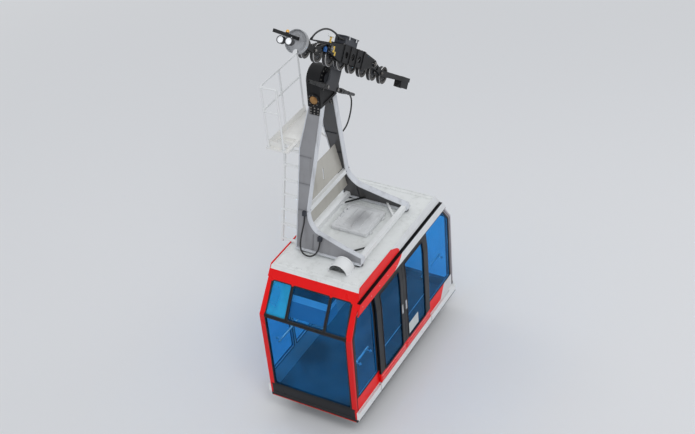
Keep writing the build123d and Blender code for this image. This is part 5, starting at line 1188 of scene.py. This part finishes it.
def addVentDetails():
    # rolled lip round the mouth, a band, feet with screws, and slanted blades in the mouth
    x0, y, z, r = vent["x"], vent["y"], car["roof"], vent["radius"]
    x1 = x0 + vent["length"]

    def arch(x, radius):
        return [(x, y + radius * math.cos(math.pi * k / 24), z + radius * math.sin(math.pi * k / 24))
                for k in range(25)]

    trim = [tubeAlong("ventLip", arch(x0 + 0.004, r - 0.004), 0.007)]
    for side in (1, -1):
        foot = y + side * (r + 0.010)
        trim.append(block("ventFoot", (x0, foot - 0.014, z - 0.001), (x1, foot + 0.014, z + 0.005), 0.002))
    trim.append(tubeAlong("ventBand", arch(x1 - 0.030, r + 0.001), 0.004))
    settle(joined("ventTrim", trim), "cabin", whitePaint, "roof_white")
    blades = []
    for k in range(vent["blades"]):
        up = 0.020 + vent["bladeStep"] * k
        wide = math.sqrt((r - 0.014) ** 2 - (up + 0.018) ** 2)
        blade = block("blade", (-0.018, -wide, -0.0015), (0.018, wide, 0.0015), 0.0008, 1)
        place = Matrix.Translation((x0 + 0.045, y, z + up)) @ Matrix.Rotation(vent["bladeLean"], 4, "Y")
        blades.append(placed(blade, place))
    settle(joined("ventBlades", blades), "cabin", chassisBlack, "black_paint")
    screws = [facing((x, y + side * (r + 0.013), z + 0.004), (0, 0, 1)) for side in (1, -1)
              for x in (x0 + 0.03, x0 + 0.115, x1 - 0.03)]
    addBolts("ventScrews", 0.0045, screws, "cabin", zinc)
    print("vent")


windows = {
    "low": 0.450, "top": 1.960, "corner": 0.030, "gasket": 0.0085, "side": 0.1, "end": 0.095,
    # start and end along each side wall; None is the slanting edge by the corner post
    "doorSide": ((None, -0.9875), (0.7875, None)),
    "ladderSide": ((None, -0.9875), (-0.9325, -0.1275), (-0.0725, 0.7325), (0.7875, None)),
    "endPanes": ((None, -0.346), (-0.314, 0.314), (0.346, None)),
    "endLower": (0.27, 1.628), "endUpper": (1.672, 2.120),
}


def slanted(edge, heights, inset, sign):
    # points along a window's edge that follows the corner post
    return [(sign * (edge(h) - inset), h) for h in heights]


def addWindowGaskets():
    low, top, corner, thick = windows["low"], windows["top"], windows["corner"], windows["gasket"]
    rise = (low, cabin["fold"], top)
    rings = []
    for side, openings, outer in ((-1, windows["doorSide"], -0.0075), (1, windows["ladderSide"], 0.001)):
        for start, end in openings:
            left = slanted(endX, rise, windows["side"], -1) if start is None else [(start, low), (start, top)]
            right = slanted(endX, rise[::-1], windows["side"], 1) if end is None else [(end, top), (end, low)]
            loop = roundedLoop(left + right, corner)
            for out in (outer, -0.045):  # the outer one is nearly flush where the leaves slide past
                rings.append(tubeAlong("ring", [sidePoint(p.x, p.y, out, side) for p in loop], thick, closed=True))
    settle(joined("sideGaskets", rings), "cabin", gasket, "black_paint")
    rings = []
    for side in (1, -1):
        low, top = windows["endLower"]
        sets = [slanted(sideY, (low, top), windows["end"], -1) + slanted(sideY, (top, low), windows["end"], 1)]
        low, top = windows["endUpper"]
        for start, end in windows["endPanes"]:
            left = slanted(sideY, (low, top), windows["end"], -1) if start is None else [(start, low), (start, top)]
            right = slanted(sideY, (top, low), windows["end"], 1) if end is None else [(end, top), (end, low)]
            sets.append(left + right)
        for corners in sets:
            points = [endPoint(p.x, p.y, 0.001, side) for p in roundedLoop(corners, corner)]
            rings.append(tubeAlong("ring", points, thick, closed=True))
    settle(joined("endGaskets", rings), "cabin", gasket, "black_paint")
    print("window gaskets")


# Each leaf: both ends, both ends of its window, and the side on which the leaves meet.
doors = {
    "near": (-0.960, -0.103, -0.810, -0.198, 1), "far": (-0.097, 0.760, -0.002, 0.610, -1),
    "face": 0.042, "windowLow": 0.382, "windowTop": 1.884, "noseHeights": (0.222, 1.65, 1.950), "pullHeight": 1.10,
    "beads": (0.268, 0.332), "kickHeight": 0.30, "railHeight": 0.80, "railOut": 0.0155, "plateHeight": 0.535,
}


def addDoorDetails():
    # gaskets, nose, pull cup, beads, kick plate and inner rail of each leaf, and one blank pale plate
    face, h0, h1, h = doors["face"], doors["windowLow"], doors["windowTop"], doors["pullHeight"]
    for name in ("near", "far"):
        start, end, w0, w1, meetSide = doors[name]
        body, title = f"door_{name}", name.title()
        loop = roundedLoop([(w0, h0), (w0, h1), (w1, h1), (w1, h0)], windows["corner"])
        ring = tubeAlong("ring", [sidePoint(p.x, p.y, face + 0.001) for p in loop], windows["gasket"], closed=True)
        back = tubeAlong("ring", [sidePoint(p.x, p.y, 0.0125) for p in loop], 0.005, closed=True)
        meet = end if meetSide > 0 else start
        edge = [sidePoint(meet - meetSide * 0.004, up, face - 0.017) for up in doors["noseHeights"]]
        nose = tubeAlong("nose", edge, 0.0055)
        settle(joined(f"doorGaskets{title}", [ring, back, nose]), body, gasket, "black_paint")
        x = meet - meetSide * 0.060
        cup = block("cup", (x - 0.020, -0.0035, -0.085), (x + 0.020, 0.0035, 0.085), 0)
        soften(pressed(cup, lambda n, c: n.y < -0.9, (0.007, 0.0), (0.004, -0.003)), 0.0015, 2, 30)
        trim = [placed(cup, Matrix.Translation((0, -(sideY(h) + face + 0.001), height(h))))]
        trim += [tubeAlong("bead", [sidePoint(start + 0.030, up, face), sidePoint(end - 0.030, up, face)], 0.0035)
                 for up in doors["beads"]]
        settle(joined(f"doorTrim{title}", trim), body, brightSteel, "rail_steel")
        up = doors["kickHeight"]
        kick = block("kick", (start + 0.020, -0.0015, -0.052), (end - 0.020, 0.0015, 0.052), 0.001)
        placed(kick, Matrix.Translation((0, -(sideY(up) + face + 0.0005), height(up))))
        settle(kick, body, leafPaint, "red_paint")
        up, out = doors["railHeight"], doors["railOut"]
        grips = [rod("leafRail", sidePoint(w0 + 0.002, up, out), sidePoint(w1 - 0.002, up, out), 0.0065, 16)]
        grips += [rod("leafClip", sidePoint(x - 0.012, up, out), sidePoint(x + 0.012, up, out), 0.0080, 20, 0.0015)
                  for x in (w0 + 0.06, w1 - 0.06)]
        settle(joined(f"leafRail{title}", grips), body, brightSteel, "rail_steel")
    up = doors["plateHeight"]
    plate = soften(block("blankNotice", (0.012, -0.0012, -0.105), (0.352, 0.0012, 0.105), 0), 0.0008, 1, 30)
    placed(plate, Matrix.Translation((0, -(sideY(up) + 0.0335), height(up))))
    settle(plate, "door_far", platePaint, "frame_white")
    print("door details")


trim = {
    "sillOut": 0.046, "sillBead": 0.068, "sillJoints": (-0.990, 0.790), "sillHeight": 0.135, "sillScrews": 12,
    "hoodHeight": 2.050, "hoodScrews": 11, "cornerHeights": (0.215, 1.65, 1.965), "endBeads": (0.085, 0.245),
}


def addSideTrim():
    # joints and screws of the sill, beads along the sill, roof edge and hood, seals in the corners
    rubber, screws, seams = [], [], []
    out = trim["sillOut"]

    def bead(name, half, h, off, side, radius):
        ends = [sidePoint(-half, h, off, side), sidePoint(half, h, off, side)]
        rubber.append(tubeAlong(name, ends, radius))

    for side in (1, -1):
        bead("bead", 1.700, trim["sillBead"], out - 0.002, side, 0.006)
        y = side * (sideY(0.13) + 0.030)
        for x in trim["sillJoints"]:
            rubber.append(block("joint", (x - 0.003, y - 0.018, height(0.066)), (x + 0.003, y + 0.018, height(0.202)),
                                0.001))
        bead("underEdge", 1.255, 2.149, 0.010, side, 0.0055)
        half, h, off = (1.46, 1.973, 0.054) if side < 0 else (1.27, 2.152, 0.004)
        bead("hoodLip", half, h, off, side, 0.0045)
        count = trim["sillScrews"]
        screws += [facing(sidePoint(-1.62 + 3.24 * k / (count - 1), trim["sillHeight"], out - 0.0005, side),
                          (0, side, 0)) for k in range(count)]
    count = trim["hoodScrews"]
    screws += [facing(sidePoint(-1.32 + 2.64 * k / (count - 1), trim["hoodHeight"], 0.0555), (0, -1, 0.06))
               for k in range(count)]
    settle(joined("sideBeads", rubber), "cabin", gasket, "black_paint")
    addBolts("sideScrews", 0.0045, screws, "cabin", zinc)
    for side in (1, -1):
        for end in (1, -1):
            line = [(end * (endX(h) - 0.046), side * (sideY(h) + 0.0005), height(h)) for h in trim["cornerHeights"]]
            seams.append(tubeAlong("cornerSeam", line, 0.0055))
    settle(joined("cornerSeals", seams), "cabin", gasket, "black_paint")
    print("side trim")


def addEndTrim():
    # beads across both ends, and the red lip under the near one
    beads = [tubeAlong("endBead", [endPoint(across * (sideY(h) - 0.02), h, 0.001, side) for across in (-1, 1)], 0.005)
             for side in (1, -1) for h in trim["endBeads"]]
    settle(joined("endBeads", beads), "cabin", gasket, "black_paint")
    lip = block("endLip", (-1.7135, -0.752, height(0.003)), (-1.7085, 0.752, height(0.016)), 0.0015, 1)
    settle(lip, "cabin", endLipPaint, "red_paint")
    print("end trim")


inside = {
    "consoleFace": -1.250, "keys": 12, "keyHeight": 1.83,
    "screens": ((-0.26, -0.02, 1.90, 2.06), (0.05, 0.26, 1.93, 2.06)),  # across, then heights
    "lightY": 0.36, "lightHalf": (0.95, 0.030), "lightHeights": (2.240, 2.256),
    # each handrail: both ends, its side and its number of brackets
    "rails": ((-1.48, -1.02, -1, 2), (0.82, 1.48, -1, 2), (-1.48, 1.48, 1, 3)), "railHeight": 0.96,
}


def addInside():
    # console with ledge, hood, dark screens and a row of keys, lights in the ceiling, flanges of the handrails
    x = inside["consoleFace"]
    shell = [block("ledge", (-1.560, -0.322, height(1.703)), (-1.262, 0.322, height(1.722)), 0.004),
             block("hood", (x - 0.004, -0.326, height(2.15)), (x + 0.030, 0.326, height(2.20)), 0.008, 3)]
    settle(joined("consoleShell", shell), "cabin", consoleLight, "box_grey")
    screens = []
    for y0, y1, h0, h1 in inside["screens"]:
        screen = block("screen", (x - 0.002, y0, height(h0)), (x + 0.010, y1, height(h1)), 0)
        screens.append(soften(pressed(screen, lambda n, c: n.x > 0.9, (0.010, -0.003)), 0.002, 2, 30))
    settle(joined("consoleScreens", screens), "cabin", gasket, "black_paint")
    z = height(inside["keyHeight"])
    keys = [rod("key", (x - 0.002, y, z), (x + 0.008, y, z), 0.011, 16, 0.002)
            for y in [-0.24 + 0.045 * k for k in range(inside["keys"])]]
    settle(joined("consoleKeys", keys), "cabin", brightSteel, "rail_steel")
    (long, wide), (low, high) = inside["lightHalf"], inside["lightHeights"]
    lights = [block("strip", (-long, y - wide, height(low)), (long, y + wide, height(high)), 0.004)
              for y in (-inside["lightY"], inside["lightY"])]
    settle(joined("ceilingLights", lights), "cabin", diffuserWhite, "frame_white")
    flanges, z = [], height(inside["railHeight"])
    for x0, x1, side, count in inside["rails"]:
        wall = side * (sideY(inside["railHeight"]) - 0.045)
        rail = wall - side * 0.075
        for k in range(count):
            x = x0 + 0.07 + (x1 - x0 - 0.14) * k / (count - 1)
            flanges.append(rod("flange", (x, wall, z), (x, wall - side * 0.006, z), 0.026, 24, 0.002))
            flanges.append(rod("clamp", (x - 0.016, rail, z), (x + 0.016, rail, z), 0.0205, 24, 0.002))
    settle(joined("railFlanges", flanges), "cabin", brightSteel, "rail_steel")
    print("inside")


for addPieces in (addCords, addWheels, addCarriageDetails, addValveAndMarks, addControlBox, addAerial, addLamps,
                  addEndShield, addSockets, addHead, addLegDetails, addRoofMounts, addWebPanelDetails, addRailing,
                  addPlatformDetails, addLadderDetails, addRoofDetails, addHatchDetails, addVentDetails,
                  addWindowGaskets, addDoorDetails, addSideTrim, addEndTrim, addInside):
    addPieces()


# The floor fades into the backdrop's colour between two distances from the middle.
# Each lamp has its place, aim, power and size.
studio = {
    "floorZ": -5.45, "floorTone": 0.84, "backdrop": (0.74, 0.75, 0.765), "fade": (7, 30), "sky": 0.66,
    "skyTint": (0.93, 0.96, 1.0),
    "keyLamp": ((-7, -7, 9), (0, 0, -2), 430, 5), "fillLamp": ((9, -9, 4), (0, 0, -2), 150, 6),
    "rimLamp": ((2, 10, 8), (0, 0, -1), 170, 5),
}
camera = {"place": (-13.774, -8.643, 9.312), "aim": (0.0, 0.12, -2.62), "lens": 68.0, "roll": -5.8, "reach": 200}


def addFloor():
    deselect()
    bpy.ops.mesh.primitive_plane_add(size=400, location=(0, 0, studio["floorZ"]))
    floor = bpy.context.object
    floor.name = "studioFloor"
    f = Finish("studioFloor")
    tone = studio["floorTone"]
    plain = f.node("ShaderNodeBsdfDiffuse", {}, {"Color": (tone, tone, tone * 1.01, 1)})
    backdrop = f.node("ShaderNodeEmission", {}, {"Color": opaque(studio["backdrop"]), "Strength": 1.0})
    square = f.x * f.x + f.y * f.y
    away = square.maths("SQRT", square).step(*studio["fade"])
    surface = f.node("ShaderNodeMixShader", {}, (away * f.seen(), plain, backdrop))
    f.node("ShaderNodeOutputMaterial", {}, {"Surface": surface})
    floor.data.materials.append(f.material)


def addLamp(name):
    place, aim, power, size = studio[name]
    deselect()
    bpy.ops.object.light_add(type="AREA", location=place)
    lamp = bpy.context.object
    lamp.name = name
    lamp.data.energy, lamp.data.size = power, size
    lamp.rotation_euler = (Vector(place) - Vector(aim)).to_track_quat("Z", "Y").to_euler()


def addWorld():
    world = bpy.data.worlds.new("studio")
    bpy.context.scene.world = world
    f = Finish("studio", world)
    lit = f.node("ShaderNodeBackground", {}, {"Color": opaque(studio["skyTint"]), "Strength": studio["sky"]})
    plain = f.node("ShaderNodeBackground", {}, {"Color": opaque(studio["backdrop"]), "Strength": 1.0})
    mixed = f.node("ShaderNodeMixShader", {}, (f.seen(), lit, plain))
    f.node("ShaderNodeOutputWorld", {}, {"Surface": mixed})


def addCamera():
    deselect()
    bpy.ops.object.camera_add(location=camera["place"])
    eye = bpy.context.object
    look = (Vector(camera["place"]) - Vector(camera["aim"])).to_track_quat("Z", "Y")
    eye.rotation_euler = (look @ Matrix.Rotation(math.radians(camera["roll"]), 4, "Z").to_quaternion()).to_euler()
    eye.data.lens, eye.data.clip_end, eye.data.sensor_width = camera["lens"], camera["reach"], 36
    bpy.context.scene.camera = eye


addFloor()
for name in ("keyLamp", "fillLamp", "rimLamp"):
    addLamp(name)
addWorld()
addCamera()
bpy.context.scene.view_settings.view_transform = "Standard"
print("stage set")
